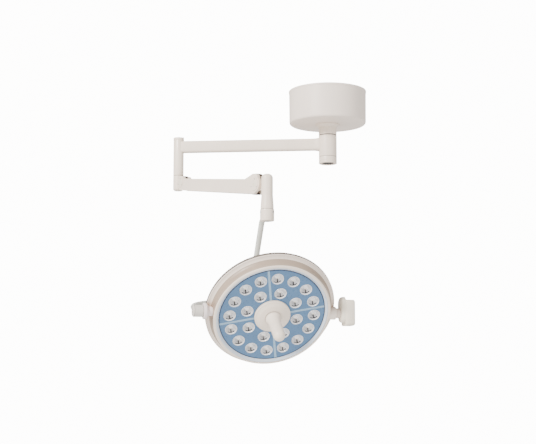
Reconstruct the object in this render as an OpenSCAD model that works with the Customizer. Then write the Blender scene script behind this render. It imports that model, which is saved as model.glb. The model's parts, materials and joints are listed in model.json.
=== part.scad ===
// Ceiling-mounted surgical light: a canopy and drop tube, a level extension arm, a sprung arm,
// a yoke and a round LED head with a sterile handle and a keypad pod.
// Millimetres, +Z up, origin at the centre of the ceiling plate's top face.

/* [Ceiling mount] */
// Radius of the ceiling plate
plate_r = 150; // [145:1:160]
// Thickness of the ceiling plate
plate_t = 10; // [8:1:14]
// Radius of the circle of ceiling bolts
ceiling_bolt_circle_r = 130; // [125:1:135]
// Radius of each ceiling bolt hole
ceiling_bolt_hole_r = 6.5; // [5:0.5:8]
// Radius of the canopy at the ceiling
canopy_r = 195; // [185:1:200]
// Height of the canopy
canopy_h = 171; // [155:1:175]
// Radius of the rounded lower edge of the canopy
canopy_edge_r = 12; // [8:1:40]
// Outer radius of the drop tube and of the arm's hub
column_r = 45; // [43:1:46]

/* [Extension arm] */
// Reach from the column's axis to the post's axis
arm_reach = 756; // [600:1:900]
// Height of the arm's tube
arm_h = 58; // [50:0.5:60]
// Width of the arm's tube
arm_w = 44; // [40:1:50]
// Radius of the post at the arm's outer end
post_r = 26; // [23:0.5:26.5]

/* [Spring arm] */
// Distance between the two tilt pivots
pivot_span = 622; // [560:1:700]
// Angle of the arm above the horizontal
spring_tilt = -8.5; // [-40:0.5:20]
// Heading of the arm, seen from above
spring_heading = -47; // [-60:1:-42]
// Width of the arm
spring_arm_w = 50; // [50:1:56]
// Radius of the rounded end at the post
rear_boss_r = 29; // [29:0.5:31]
// Radius of the rounded end at the front knuckle
front_boss_r = 36; // [36:0.5:38]

/* [Yoke] */
// Heading of the head's tilt axis, seen from above
axis_heading = 20; // [0:1:40]
// Radius of the yoke's tube
yoke_r = 13.5; // [11:0.5:14]
// Height from the head's tilt axis up to the underside of the yoke's collar
yoke_drop = 412; // [400:1:430]

/* [Head] */
// Angle of the light's beam below the horizontal
beam_angle = 38.5; // [0:0.5:90]
// Radius of the rear flange, the widest part of the head
flange_r = 297; // [295:1:299]
// Radius of the blue face
face_r = 242.5; // [241:0.5:243]
// Turn of the lamp pattern round the beam
pattern_turn = 13; // [0:1:45]
// Radius of a lens cup's mouth
cup_r = 27.5; // [24:0.5:27.5]
// Radius of the centre hub
hub_cover_r = 82; // [80:1:85]
// Distance from the tilt axis to the tip of the sterile handle
handle_tip = 204; // [180:1:215]

/* [Hidden] */
$fn = 72;

white = [0.90, 0.88, 0.86];
warm_grey = [0.80, 0.79, 0.77];
dark = [0.12, 0.12, 0.13];
steel = [0.72, 0.73, 0.75];
bronze = [0.72, 0.55, 0.32];

run_gap = 0.05;          // radial clearance of a shaft in its bush
eps = 0.5;               // overshoot of a cut past the face that it opens

// Column
flange_t = 12;
flange_disc_r = 100;
flange_screw_circle_r = 85;
flange_screw_count = 8;
tube_wall = 7;
seam_z = -225;
hub_top_z = -229;
hub_cap_z = -336;
hub_bottom_z = -371;
hub_floor_z = -362;
hub_cap_inner_r = 36;
brake_screw_r = 4;
spindle_r = 24;
spindle_bore_r = 14;
spindle_top_z = -160;
spindle_bottom_z = -352;
hub_inner_r = 34;
canopy_taper = 3;
canopy_wall = 2.5;
collar_r = 58;
collar_h = 18;

// Extension arm
arm_z = -272;
arm_corner_r = 10;
arm_wall = 4;
post_top_z = -238;
post_bottom_z = -419;
post_inner_r = 15;
spigot_r = 12;
spigot_top_z = -300;
spigot_bottom_z = -455;
rear_clip_z = -304.5;
clip_depth = 1.5;
clip_t = 2.5;

// Spring arm. Local x runs from the rear pivot to the front one
rear_pivot_z = -464;
rear_offset = post_r + rear_boss_r + 2;
knuckle_r = 26.5;
front_offset = knuckle_r + front_boss_r + 2;
rod_drop = 22;
pin_r = 7;
rod_pin_r = 4;
rod_r = 4;
rod_eye_r = 8;
rod_slot_w = rod_eye_r + 1.2;
pin_gap = 0.02;          // radial gap of a pin in its own tongue
tongue_w = 20;
slot_w = 22;
beam_wall = 4;
cheek_pin_depth = 6;     // how deep each main pin sits in a cheek of the arm
main_pin_l = slot_w + 2 * cheek_pin_depth - 0.4;
eye_r = 14;
rear_top = 20;
rear_bottom = -38;
front_top = 23;
rear_crest = 33;
front_crest = 48;
front_bottom = -45;
spring_axis = 2;
spring_coil_r = 11.4;
spring_wire_r = 1.6;
spring_from = 172;
spring_to = 430;
spring_turns = 24;
spring_seat_r = 13;
spring_seat_t = 6;
plunger_from = 64;
plunger_seat_at = 152;
rear_slot_to = 36;
front_slot_from = pivot_span - 44;
seal_t = 3;
seal_h = 4;

// Front knuckle and yoke
front_pivot_z = rear_pivot_z + pivot_span * sin(spring_tilt);
knuckle_reach = rear_offset + pivot_span * cos(spring_tilt) + front_offset;
knuckle_top_z = front_pivot_z + 41;
knuckle_bottom_z = -677;
knuckle_bore_r = 15;
yoke_clip_z = -598;
knuckle_foot_r = 30;
yoke_collar_r = 32.5;
yoke_collar_top_z = -679;
yoke_collar_bottom_z = -733;
yoke_spigot_r = 11;
tilt_axis_z = yoke_collar_bottom_z - yoke_drop;
knuckle_x = -arm_reach + knuckle_reach * cos(spring_heading);
knuckle_y = knuckle_reach * sin(spring_heading);

// Yoke route, y towards the back and z from the collar's underside
stub_z = 18;
slant = 55.7;            // angle of the slanted run below the horizontal
slant_y = 105;           // where the slanted run crosses the collar's underside
rise = 11;               // tilt of the plane that the side bend lies in
bend_top_r = 45;
bend_back_r = 60;
head_shift = 18;         // from the yoke's swivel axis to the head's centre, along the tilt axis
side_u = 332 - head_shift;   // the side bend's end along the tilt axis
bend_side_r = side_u - bend_back_r;
back_run = (yoke_drop - slant_y * tan(rise)) / (sin(slant) + cos(slant) * tan(rise));
back_y = slant_y + back_run * cos(slant);
back_z = -back_run * sin(slant);
back_reach = norm([back_y, back_z + yoke_drop]);
weld_bead_l = 6;
yoke_wall = 3.2;
weld_bead_t = 0.4;

// Side pivot along the tilt axis, measured from the head's centre
pivot_housing_r = 27;
pivot_housing_from = -355;
pivot_housing_to = -312.5;
pivot_cap_t = 4;
friction_ring_from = -345;
shaft_from = -351;
shaft_to = -262;
shaft_head_r = 17;
shaft_head_t = 6;
pivot_shaft_r = 12;
pivot_collar_r = 36.5;
pivot_collar_from = -311.5;
pivot_root_r = 22;

// Head, distances along the beam from the tilt axis
face_front = 25;
face_back = 21;
bezel_front = 33;
bezel_r = 270;
flange_front = -14;
flange_back = -24;
gasket_back = -26;
shell_back = -72;
cove_r = 26;
bezel_edge_r = 8;
bezel_wall = 3;
board_top = 1.6;
sink_top = 0;
sink_back = -6;
fin_back = -24;
fin_count = 24;
quadrants = 4;
outer_ring_r = 194;
outer_ring_count = 16;
inner_ring_r = 119;
inner_ring_count = 8;
cross_w = 10;
cup_lip = 0.8;           // how far each cup's mouth stands out of the face
grip_r = 27;
holder_r = 14;
hub_front = 49;
hub_bore_top = hub_front - 11;

// Pod on the end of the tilt axis
pod_neck_r = 23;
pod_hub_r = 30;
pod_root = 264;
pod_cable_r = 10;
pod_hub_to = 302;
pod_from = 322;
pod_slab_from = 344;
pod_face_from = 382;
pod_to = 386;
pod_l = 118;
pod_w = 84;
pod_corner_r = 14;
pod_turn = 38.5;         // turn about the tilt axis that stands the pod upright at rest
pod_rise = 2;            // how far the face's middle sits above the tilt axis
pod_back_l = 118;
pod_back_w = 72;
pod_back_corner_r = 24;
pod_wall = 2.5;
button_r = 7.5;
button_pitch = 24;
button_back = 366;
pod_board_from = 360;
pod_board_t = 1.6;
pod_switch_h = 2.6;
pod_back_rise = 16;       // how far the back block's middle sits above the tilt axis
button_front = 388;

// ---- Placing ----

module post_frame() {
    translate([-arm_reach, 0, 0]) children();
}

module rear_frame() {
    post_frame() rotate([0, 0, spring_heading]) children();
}

module spring_frame() {
    rear_frame() translate([rear_offset, 0, rear_pivot_z]) rotate([0, -spring_tilt, 0]) children();
}

module knuckle_frame() {
    translate([knuckle_x, knuckle_y, 0]) rotate([0, 0, spring_heading]) children();
}

module yoke_frame() {
    translate([knuckle_x, knuckle_y, yoke_collar_bottom_z]) rotate([0, 0, axis_heading]) children();
}

module head_frame() {
    translate([knuckle_x, knuckle_y, tilt_axis_z])
        rotate([0, 0, axis_heading])
            translate([head_shift, 0, 0]) rotate([90 + beam_angle, 0, 0])
                children();
}

// The pod's own frame: x along the tilt axis, y up at rest
module pod_frame() {
    head_frame() rotate([-pod_turn, 0, 0]) children();
}

// Turns local z to run along x
module along_x() {
    rotate([0, 90, 0]) children();
}

// ---- Shapes ----

module disc(r, top, bottom) {
    translate([0, 0, bottom]) cylinder(r = r, h = top - bottom);
}

module ring(r_out, r_in, top, bottom) {
    difference() {
        disc(r_out, top, bottom);
        disc(r_in, top + eps, bottom - eps);
    }
}

module round_rect(l, w, r) {
    square([l - 2 * r, w], center = true);
    square([l, w - 2 * r], center = true);
    for (x = [-1, 1], y = [-1, 1])
        translate([x * (l / 2 - r), y * (w / 2 - r)]) circle(r);
}

// A bar along +x from x0 to x1, h high and w wide, with rounded long edges
module round_bar(x0, x1, h, w, r) {
    translate([x0, 0, 0]) along_x() linear_extrude(x1 - x0) round_rect(h, w, r);
}

// A plate across y, drawn as an x-z outline
module across_y(w) {
    rotate([90, 0, 0]) linear_extrude(w, center = true) children();
}

module pin_y(r, w) {
    rotate([90, 0, 0]) cylinder(r = r, h = w, center = true);
}

function arc(cx, cy, r, a0, a1, n) =
    [for (i = [0:n]) let (a = a0 + (a1 - a0) * i / n) [cx + r * cos(a), cy + r * sin(a)]];

module spaced_round(count, r, turn = 0) {
    for (i = [0:count - 1])
        rotate([0, 0, turn + i * 360 / count]) translate([r, 0, 0]) children();
}

module screw(head_r, head_h, shank_r, shank_l) {
    translate([0, 0, -head_h]) difference() {
        cylinder(r = head_r, h = head_h);
        translate([0, 0, -eps]) cylinder(r = head_r * 0.5, h = head_h * 0.6, $fn = 6);
    }
    cylinder(r = shank_r, h = shank_l);
}

// ---- Ceiling mount ----

module ceiling_plate() {
    color(steel) difference() {
        disc(plate_r, 0, -plate_t);
        disc(30, eps, -plate_t - eps);
        spaced_round(6, ceiling_bolt_circle_r, 30)
            disc(ceiling_bolt_hole_r, eps, -plate_t - eps);
        spaced_round(flange_screw_count, flange_screw_circle_r, 22.5)
            disc(5, -3, -plate_t - eps);
    }
}

module drop_tube() {
    color(white) {
        difference() {
            ring(flange_disc_r, column_r + pin_gap, -plate_t, -plate_t - flange_t);
            spaced_round(flange_screw_count, flange_screw_circle_r, 22.5)
                disc(5.5, -plate_t + eps, -plate_t - flange_t - eps);
        }
        difference() {
            disc(column_r, -plate_t, seam_z);
            disc(column_r - tube_wall, -plate_t + eps, seam_z + 20);
            disc(spindle_r, seam_z + 21, seam_z - eps);
        }
    }
}

module flange_screws() {
    color(steel) spaced_round(flange_screw_count, flange_screw_circle_r, 22.5)
        translate([0, 0, -plate_t - flange_t]) screw(8, 8, 5, flange_t + 7);
}

module spindle() {
    color(steel) difference() {
        disc(spindle_r, spindle_top_z, spindle_bottom_z);
        disc(spindle_bore_r, spindle_top_z + eps, spindle_bottom_z - eps);
    }
}

module spindle_nut() {
    color(steel) ring(30, spindle_r, hub_cap_z, hub_cap_z - 12);
}

// The canopy's outline, inset by its wall thickness for the inside
function canopy_outline(inset, top_z) = concat(
    [[0, top_z], [canopy_r - inset, top_z]],
    arc(canopy_r - canopy_taper - canopy_edge_r, canopy_edge_r - canopy_h,
        canopy_edge_r - inset, 0, -90, 10),
    [[0, inset - canopy_h]]
);

module canopy() {
    color(white) difference() {
        rotate_extrude() polygon(canopy_outline(0, -2));
        rotate_extrude() polygon(canopy_outline(canopy_wall, 0));
        disc(column_r + 8, 0, -canopy_h - eps);
    }
}

module canopy_collar() {
    color(white) rotate_extrude() polygon([
        [column_r, -canopy_h], [collar_r, -canopy_h], [collar_r, -canopy_h - collar_h + 4],
        [collar_r - 4, -canopy_h - collar_h], [column_r, -canopy_h - collar_h]
    ]);
}

module power_supply() {
    color(steel) difference() {
        translate([106, -45, -plate_t - 45]) cube([60, 90, 45]);
        for (i = [-3:3])
            translate([116, i * 11 - 2, -plate_t - 45 - eps]) cube([40, 4, 2]);
    }
}

module terminal_block() {
    color(warm_grey) difference() {
        translate([-150, -30, -plate_t - 24]) cube([36, 60, 24]);
        for (i = [-2:2])
            translate([-132, i * 11, -plate_t - 24 - eps]) cylinder(r = 3.5, h = 12);
    }
}

module slip_ring_stator() {
    color(dark) disc(spindle_bore_r, hub_cap_z + 2, hub_floor_z + 6);
}

// ---- Extension arm ----

module arm_bar(x0, x1, grow) {
    translate([0, 0, arm_z])
        round_bar(x0, x1, arm_h + 2 * grow, arm_w + 2 * grow, arm_corner_r + grow);
}

module extension_arm() {
    weld_grow = 3;
    color(white) difference() {
        union() {
            disc(column_r, hub_top_z, hub_cap_z);
            arm_bar(-arm_reach, 0, 0);
            arm_bar(-column_r - 12, 0, weld_grow);
            post_frame() disc(post_r, post_top_z, post_bottom_z);
        }
        difference() {
            arm_bar(-arm_reach + post_r, -column_r, -arm_wall);
            post_frame() disc(post_r, post_top_z, post_bottom_z);
        }
        disc(hub_inner_r, hub_top_z + eps, hub_cap_z - eps);
        post_frame() disc(post_inner_r, post_top_z + eps, post_bottom_z - eps);
        brake_screw_places() cylinder(r = brake_screw_r, h = column_r - hub_inner_r + eps);
        translate([-column_r - eps, 0, arm_z - 7]) along_x() cylinder(r = 9, h = column_r);
        translate([-arm_reach, 0, arm_z - 7]) along_x() cylinder(r = 9, h = post_r + 1);
    }
}

module hub_bearings() {
    upper_z = hub_top_z - 4;
    washer_z = hub_cap_z + 4;
    color(bronze) ring(hub_inner_r, spindle_r + run_gap, upper_z, upper_z - 14);
    color(bronze) ring(hub_inner_r, spindle_r + run_gap, washer_z + 24, washer_z);
    color(steel) ring(hub_inner_r - 1, spindle_r + run_gap, washer_z, hub_cap_z + 0.1);
}

module seam_seal() {
    color(dark) ring(40.5, 30, seam_z - 0.3, hub_top_z);
}

module hub_end_cap() {
    color(white) ring(column_r, hub_cap_inner_r, hub_cap_z, hub_bottom_z);
    color(white) disc(hub_cap_inner_r, hub_floor_z, hub_bottom_z + 5);
}

module slip_ring_rotor() {
    color(bronze) disc(20, hub_floor_z + 5, hub_floor_z);
}

module brake_screw_places() {
    for (z = [hub_top_z - 11, hub_cap_z + 16])
        translate([0, -column_r + 0.6, z]) rotate([-90, 0, 0]) children();
}

module arm_brake_screws() {
    color(dark) brake_screw_places() difference() {
        cylinder(r = brake_screw_r - pin_gap, h = column_r - hub_inner_r - 0.6);
        translate([0, 0, -eps]) cylinder(r = 2, h = 3, $fn = 6);
    }
}

module post_cap() {
    color(white) post_frame() {
        disc(post_r + 0.8, post_top_z + 16, post_top_z);
        disc(post_inner_r, post_top_z, post_top_z - 8);
    }
}

module post_bushes() {
    color(bronze) post_frame() {
        ring(post_inner_r, spigot_r + run_gap, rear_clip_z - 3.5, rear_clip_z - 23.5);
        ring(post_inner_r, spigot_r + run_gap, post_bottom_z + 23, post_bottom_z + 2);
    }
}

module extension_cable() {
    cable_r = 3.5;
    bend_r = 18;
    cable_z = arm_z - 7;
    color(dark) {
        translate([-arm_reach + bend_r, 0, cable_z])
            along_x() cylinder(r = cable_r, h = arm_reach - bend_r - hub_inner_r - 2);
        translate([-arm_reach + bend_r, 0, cable_z - bend_r])
            rotate([90, 0, 0]) rotate([0, 0, 90])
                rotate_extrude(angle = 90) translate([bend_r, 0]) circle(cable_r);
        post_frame() disc(cable_r, cable_z - bend_r, cable_z - bend_r - 40);
    }
}

// ---- Rear knuckle ----

// The tongue that an arm end tilts on: main eye at the origin, rod eye below, root towards -x.
// The rod leaves along +x and rises by up to rod_lift degrees.
module tongue(reach, rod_lift) {
    difference() {
        across_y(tongue_w) {
            circle(eye_r);
            translate([0, -rod_drop]) circle(rod_eye_r);
            translate([-reach, -rod_drop - rod_eye_r])
                square([reach, rod_drop + rod_eye_r + eye_r]);
        }
        pin_y(pin_r + pin_gap, tongue_w + 2 * eps);
        translate([0, 0, -rod_drop]) pin_y(rod_pin_r + pin_gap, tongue_w + 2 * eps);
        translate([-rod_eye_r - 1, -rod_slot_w / 2, -rod_drop - rod_eye_r - eps])
            cube([40, rod_slot_w, rod_eye_r * 2 + 2]);
        translate([0, 0, -rod_drop]) across_y(rod_slot_w) rotate(rod_lift)
            translate([0, -20]) square([40, 20 + rod_r + 1]);
    }
}

module rear_knuckle() {
    bottom_z = -496;
    edge_r = 6;
    color(white) rear_frame() {
        difference() {
            union() {
                disc(post_r, post_bottom_z - 2, bottom_z + edge_r);
                translate([0, 0, bottom_z]) cylinder(r1 = post_r - edge_r, r2 = post_r, h = edge_r);
                translate([rear_offset, 0, rear_pivot_z]) tongue(rear_offset, 24);
            }
            disc(spigot_r, post_bottom_z, spigot_bottom_z);
        }
    }
}

module rear_spigot() {
    color(steel) post_frame() difference() {
        disc(spigot_r, spigot_top_z, spigot_bottom_z);
        disc(6, spigot_top_z + eps, spigot_bottom_z - eps);
        ring(spigot_r + eps, spigot_r - clip_depth, rear_clip_z, rear_clip_z - clip_t);
    }
}

module rear_circlip() {
    color(steel) post_frame()
        ring(spigot_r + 2, spigot_r - clip_depth, rear_clip_z, rear_clip_z - clip_t);
}

module rear_pins() {
    color(steel) spring_frame() pin_y(pin_r, main_pin_l);
    color(steel) rear_frame() translate([rear_offset, 0, rear_pivot_z - rod_drop])
        pin_y(rod_pin_r, tongue_w);
}

// ---- Spring arm ----

module beam_outline() {
    circle(rear_boss_r);
    translate([pivot_span, 0]) circle(front_boss_r);
    polygon([
        [-12, -26], [6, rear_bottom], [pivot_span + 2, front_bottom], [pivot_span + 18, -31],
        [pivot_span + 22, 28], [pivot_span + 14, front_crest - 4], [pivot_span + 8, front_crest],
        [pivot_span - 20, front_crest], [pivot_span - 78, front_top], [28, rear_top],
        [12, rear_crest], [-14, rear_crest]
    ]);
}

module beam_hollow() {
    polygon([
        [30, rear_bottom + beam_wall], [pivot_span - 30, front_bottom + beam_wall],
        [pivot_span - 30, front_top - beam_wall], [30, rear_top - beam_wall]
    ]);
}

module spring_arm_beam() {
    color(white) spring_frame() difference() {
        across_y(spring_arm_w) beam_outline();
        across_y(spring_arm_w - 2 * beam_wall) beam_hollow();
        translate([-60, -slot_w / 2, -60]) cube([60 + rear_slot_to, slot_w, 120]);
        translate([front_slot_from, -slot_w / 2, -60]) cube([110, slot_w, 120]);
        for (x = [0, pivot_span])
            translate([x, 0, 0]) pin_y(pin_r + run_gap, slot_w + 2 * cheek_pin_depth);
        translate([spring_to + 40, 0, front_bottom - eps]) cylinder(r = 6, h = 10);
    }
}

module boss_covers() {
    color(white) spring_frame() for (side = [-1, 1]) {
        translate([0, side * (spring_arm_w / 2 + 1), 0]) pin_y(rear_boss_r - 6, 2);
        translate([pivot_span, side * (spring_arm_w / 2 + 1), 0]) pin_y(front_boss_r - 7, 2);
    }
}

// Dark strips that close the slots above and below the beam's hollow ends
module gap_seals() {
    color(dark) spring_frame() {
        translate([rear_slot_to + 1, -slot_w / 2, rear_top - beam_wall - seal_h])
            cube([seal_t, slot_w, seal_h]);
        translate([front_slot_from - 1 - seal_t, -slot_w / 2, front_bottom + beam_wall + 0.3])
            cube([seal_t, slot_w, seal_h]);
    }
}

function coil_point(turn, r, a, x) =
    [x, r * cos(turn * 360), r * sin(turn * 360)]
        + spring_wire_r * [sin(a), cos(a) * cos(turn * 360), cos(a) * sin(turn * 360)];

// A helix of round wire, swept as one closed skin
module coil(x0, x1, turns, r) {
    steps = turns * 14;
    sides = 7;
    points = [for (i = [0:steps], j = [0:sides - 1])
        coil_point(i * turns / steps, r, -j * 360 / sides,
            x0 + spring_wire_r + (x1 - x0 - 2 * spring_wire_r) * i / steps)];
    skin = [for (i = [0:steps - 1], j = [0:sides - 1])
        let (k = (j + 1) % sides)
        [i * sides + j, i * sides + k, (i + 1) * sides + k, (i + 1) * sides + j]];
    ends = [
        [for (j = [sides - 1:-1:0]) j],
        [for (j = [0:sides - 1]) steps * sides + j]
    ];
    polyhedron(points = points, faces = concat(skin, ends));
}

module balance_spring() {
    color(steel) spring_frame() translate([0, 0, spring_axis])
        coil(spring_from, spring_to, spring_turns, spring_coil_r);
}

module spring_adjuster() {
    color(steel) spring_frame() translate([spring_to, 0, spring_axis]) along_x() {
        cylinder(r = spring_seat_r, h = spring_seat_t);
        cylinder(r = 5, h = 60);
        translate([-1, 0, 30]) linear_extrude(10) round_rect(28, spring_arm_w - 2 * beam_wall, 3);
    }
}

module parallel_rod() {
    color(steel) spring_frame_rod() difference() {
        union() {
            along_x() cylinder(r = rod_r, h = pivot_span);
            for (x = [0, pivot_span]) translate([x, 0, 0]) pin_y(rod_eye_r, rod_eye_r);
        }
        for (x = [0, pivot_span])
            translate([x, 0, 0]) pin_y(rod_pin_r + run_gap, rod_eye_r + 2 * eps);
    }
}

module spring_frame_rod() {
    rear_frame() translate([rear_offset, 0, rear_pivot_z - rod_drop])
        rotate([0, -spring_tilt, 0]) children();
}

module spring_plunger() {
    color(steel) spring_frame() translate([0, 0, spring_axis]) along_x() {
        translate([0, 0, plunger_from]) cylinder(r = 4.5, h = plunger_seat_at - plunger_from);
        translate([0, 0, plunger_seat_at]) cylinder(r = spring_seat_r, h = spring_seat_t);
    }
}

// ---- Front knuckle ----

module front_knuckle() {
    shoulder_r = 20;
    color(white) knuckle_frame() difference() {
        union() {
            rotate_extrude() polygon(concat(
                [[0, knuckle_bottom_z], [knuckle_foot_r, knuckle_bottom_z], [knuckle_foot_r, -665],
                 [knuckle_r, -615]],
                arc(knuckle_r - shoulder_r, knuckle_top_z - shoulder_r, shoulder_r, 0, 90, 8),
                [[0, knuckle_top_z]]
            ));
            translate([-front_offset, 0, front_pivot_z]) mirror([1, 0, 0]) tongue(front_offset, 42);
        }
        disc(knuckle_bore_r, yoke_clip_z + 10, knuckle_bottom_z - eps);
    }
}

module front_pins() {
    color(steel) spring_frame() translate([pivot_span, 0, 0])
        pin_y(pin_r, main_pin_l);
    color(steel) knuckle_frame() translate([-front_offset, 0, front_pivot_z - rod_drop])
        pin_y(rod_pin_r, tongue_w);
}

module knuckle_bush() {
    color(bronze) knuckle_frame()
        ring(knuckle_bore_r, yoke_spigot_r + run_gap, yoke_clip_z - 4, knuckle_bottom_z);
}

// ---- Yoke ----

module yoke_collar() {
    bottom = yoke_collar_bottom_z;
    color(white) knuckle_frame() difference() {
        union() {
            disc(yoke_collar_r, yoke_collar_top_z, bottom + 3);
            translate([0, 0, bottom]) cylinder(r1 = yoke_collar_r - 3, r2 = yoke_collar_r, h = 3);
        }
        disc(yoke_spigot_r, yoke_collar_top_z + eps, bottom + 8);
    }
}

module yoke_spigot() {
    color(steel) knuckle_frame() difference() {
        disc(yoke_spigot_r, yoke_clip_z + 6, yoke_collar_bottom_z + 8);
        ring(yoke_spigot_r + eps, yoke_spigot_r - clip_depth, yoke_clip_z, yoke_clip_z - clip_t);
    }
}

module yoke_circlip() {
    color(steel) knuckle_frame()
        ring(yoke_spigot_r + 2.5, yoke_spigot_r - clip_depth, yoke_clip_z, yoke_clip_z - clip_t);
}

// A bend in the x-y plane that starts on +x, with a weld bead at its start
module tube_bend(bend_r, r, angle) {
    rotate_extrude(angle = angle) translate([bend_r, 0]) circle(r);
    translate([bend_r, 0, 0]) rotate([-90, 0, 0]) weld_bead(r);
}

// A straight tube along +z with a weld bead at its start
module tube_leg(l, r) {
    cylinder(r = r, h = l);
    weld_bead(r);
}

module weld_bead(r) {
    translate([0, 0, -weld_bead_l / 2]) cylinder(r = r + weld_bead_t, h = weld_bead_l);
}

// The yoke's whole route as a round bar of radius r
module yoke_route(r) {
    top_leg = bend_top_r * tan(slant / 2);
    top_y = slant_y - stub_z / tan(slant);
    straight_l = norm([back_y - top_y, back_z - stub_z]) - top_leg - bend_back_r;
    translate([0, top_y - top_leg, stub_z]) rotate([90, 0, 0]) tube_leg(top_y - top_leg, r);
    translate([0, top_y - top_leg, stub_z - bend_top_r])
        rotate([90, 0, 90]) rotate([0, 0, 90 - slant]) tube_bend(bend_top_r, r, slant);
    translate([0, top_y + top_leg * cos(slant), stub_z - top_leg * sin(slant)])
        rotate([-90 - slant, 0, 0]) cylinder(r = r, h = straight_l);
    translate([-bend_back_r, back_y - bend_back_r * cos(slant), back_z + bend_back_r * sin(slant)])
        rotate([-slant, 0, 0]) tube_bend(bend_back_r, r, 90);
    translate([-side_u, 0, -yoke_drop]) rotate([rise, 0, 0]) {
        translate([bend_side_r, back_reach - bend_side_r, 0])
            rotate([0, 0, 90]) tube_bend(bend_side_r, r, 90);
        translate([0, back_reach - bend_side_r, 0])
            rotate([90, 0, 0]) tube_leg(back_reach - bend_side_r, r);
    }
}

module yoke_tube() {
    color(warm_grey) difference() {
        yoke_frame() yoke_route(yoke_r);
        yoke_frame() yoke_route(yoke_r - yoke_wall);
        knuckle_frame() disc(yoke_collar_r, yoke_collar_top_z, yoke_collar_bottom_z - 1);
        head_frame() translate([pivot_housing_from - 10, 0, 0])
            along_x() cylinder(r = pivot_housing_r, h = 60);
    }
}

module side_pivot_housing() {
    color(warm_grey) head_frame() difference() {
        translate([pivot_housing_from, 0, 0]) along_x()
            cylinder(r = pivot_housing_r, h = pivot_housing_to - pivot_housing_from);
        translate([pivot_housing_from - eps, 0, 0]) along_x()
            cylinder(r = pivot_shaft_r + run_gap, h = 60);
        translate([pivot_housing_from - eps, 0, 0]) along_x() cylinder(r = 20, h = 24);
    }
}

module side_pivot_cap() {
    color(warm_grey) head_frame() translate([pivot_housing_from - pivot_cap_t, 0, 0])
        along_x() cylinder(r1 = pivot_housing_r - 3, r2 = pivot_housing_r, h = pivot_cap_t);
}

module friction_ring() {
    color(bronze) head_frame() translate([friction_ring_from, 0, 0]) along_x() difference() {
        cylinder(r = 20, h = 12);
        translate([0, 0, -eps]) cylinder(r = pivot_shaft_r + run_gap, h = 12 + 2 * eps);
    }
}

// ---- Head ----

// Right half of the head's outline: across the beam and along it
function bezel_outer() = concat(
    [[flange_r, flange_back], [flange_r, flange_front]],
    arc(flange_r + 2, flange_front + cove_r, cove_r, 265, 180, 8),
    arc(bezel_r - bezel_edge_r, bezel_front - bezel_edge_r, bezel_edge_r, 0, 90, 5),
    [[250, bezel_front], [face_r + 0.5, face_front]]
);

function shell_outer() = concat(
    [[flange_r - 0.5, gasket_back], [flange_r - 0.5, -33]],
    arc(248, -30, 42, 0, -90, 8)
);

module head_solid() {
    rotate_extrude() polygon(concat(
        [[0, face_front]],
        [for (i = [len(bezel_outer()) - 1:-1:0]) bezel_outer()[i]],
        shell_outer(),
        [[0, shell_back]]
    ));
}

module tilt_bore(r) {
    along_x() cylinder(r = r, h = 700, center = true);
}

module pivot_shaft() {
    color(steel) head_frame() {
        translate([shaft_from, 0, 0]) along_x() cylinder(r = pivot_shaft_r, h = shaft_to - shaft_from);
        translate([shaft_to, 0, 0]) along_x() cylinder(r = shaft_head_r, h = shaft_head_t);
    }
}

module pivot_collar() {
    color(white) head_frame() difference() {
        translate([pivot_collar_from, 0, 0]) along_x() {
            cylinder(r1 = pivot_collar_r - 2, r2 = pivot_collar_r, h = 2);
            translate([0, 0, 2]) cylinder(r = pivot_collar_r, h = 10);
            translate([0, 0, 12]) cylinder(r1 = pivot_collar_r, r2 = pivot_root_r, h = 14);
            translate([0, 0, 26]) cylinder(r = pivot_root_r, h = 16);
        }
        head_solid();
        tilt_bore(pivot_shaft_r);
    }
}

module front_bezel() {
    lip_r = 238;
    color(white) head_frame() difference() {
        rotate_extrude() polygon(concat(
            bezel_outer(),
            [[face_r, face_front], [face_r, face_back], [lip_r, face_back],
             [lip_r, face_back - bezel_wall], [bezel_r - 6, face_back - bezel_wall]],
            arc(flange_r + 2, flange_front + cove_r, cove_r + bezel_wall, 180, 257, 8),
            [[flange_r - 12, flange_back + 4], [flange_r - 12, flange_back]]
        ));
        tilt_bore(pivot_shaft_r + 1);
    }
}

module rim_gasket() {
    color(dark) head_frame() ring(flange_r - 2, flange_r - 11, flange_back, gasket_back);
}

module back_shell() {
    color(white) head_frame() rotate_extrude() polygon(concat(
        shell_outer(),
        [[0, shell_back], [0, shell_back + 3]],
        arc(248, -30, 39, -90, -4, 8),
        [[flange_r - 12, -31], [flange_r - 12, gasket_back]]
    ));
}

module heat_sink() {
    color(steel) head_frame() {
        difference() {
            union() {
                disc(236, sink_top, sink_back);
                intersection() {
                    disc(228, sink_back + 1, fin_back);
                    union() {
                        for (i = [0:fin_count - 1])
                            rotate([0, 0, i * 360 / fin_count])
                                translate([60, -1.5, fin_back]) cube([160, 3, sink_back - fin_back + 1]);
                    }
                }
                for (side = [-1, 1])
                    translate([side * 240 - 16, -24, -24]) cube([32, 48, sink_back + 24 + 6]);
            }
            disc(20, sink_top + eps, fin_back - eps);
        }
    }
}

module sector(r_in, r_out, top, bottom, gap) {
    difference() {
        translate([0, 0, bottom]) rotate_extrude(angle = 90)
            translate([r_in, 0]) square([r_out - r_in, top - bottom]);
        translate([-eps, -eps, bottom - eps]) cube([r_out + 1, gap / 2 + eps, top - bottom + 1]);
        translate([-eps, -eps, bottom - eps]) cube([gap / 2 + eps, r_out + 1, top - bottom + 1]);
    }
}

module each_quadrant() {
    for (i = [0:quadrants - 1])
        rotate([0, 0, pattern_turn + i * 360 / quadrants]) children();
}

module each_lamp() {
    spaced_round(outer_ring_count, outer_ring_r, pattern_turn + 180 / outer_ring_count) children();
    spaced_round(inner_ring_count, inner_ring_r, pattern_turn + 180 / inner_ring_count) children();
}

module led_boards() {
    color("darkgreen") head_frame() {
        each_quadrant() sector(88, 234, board_top, sink_top, 4);
        each_lamp() disc(4, board_top + 2, board_top);
    }
}

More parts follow.
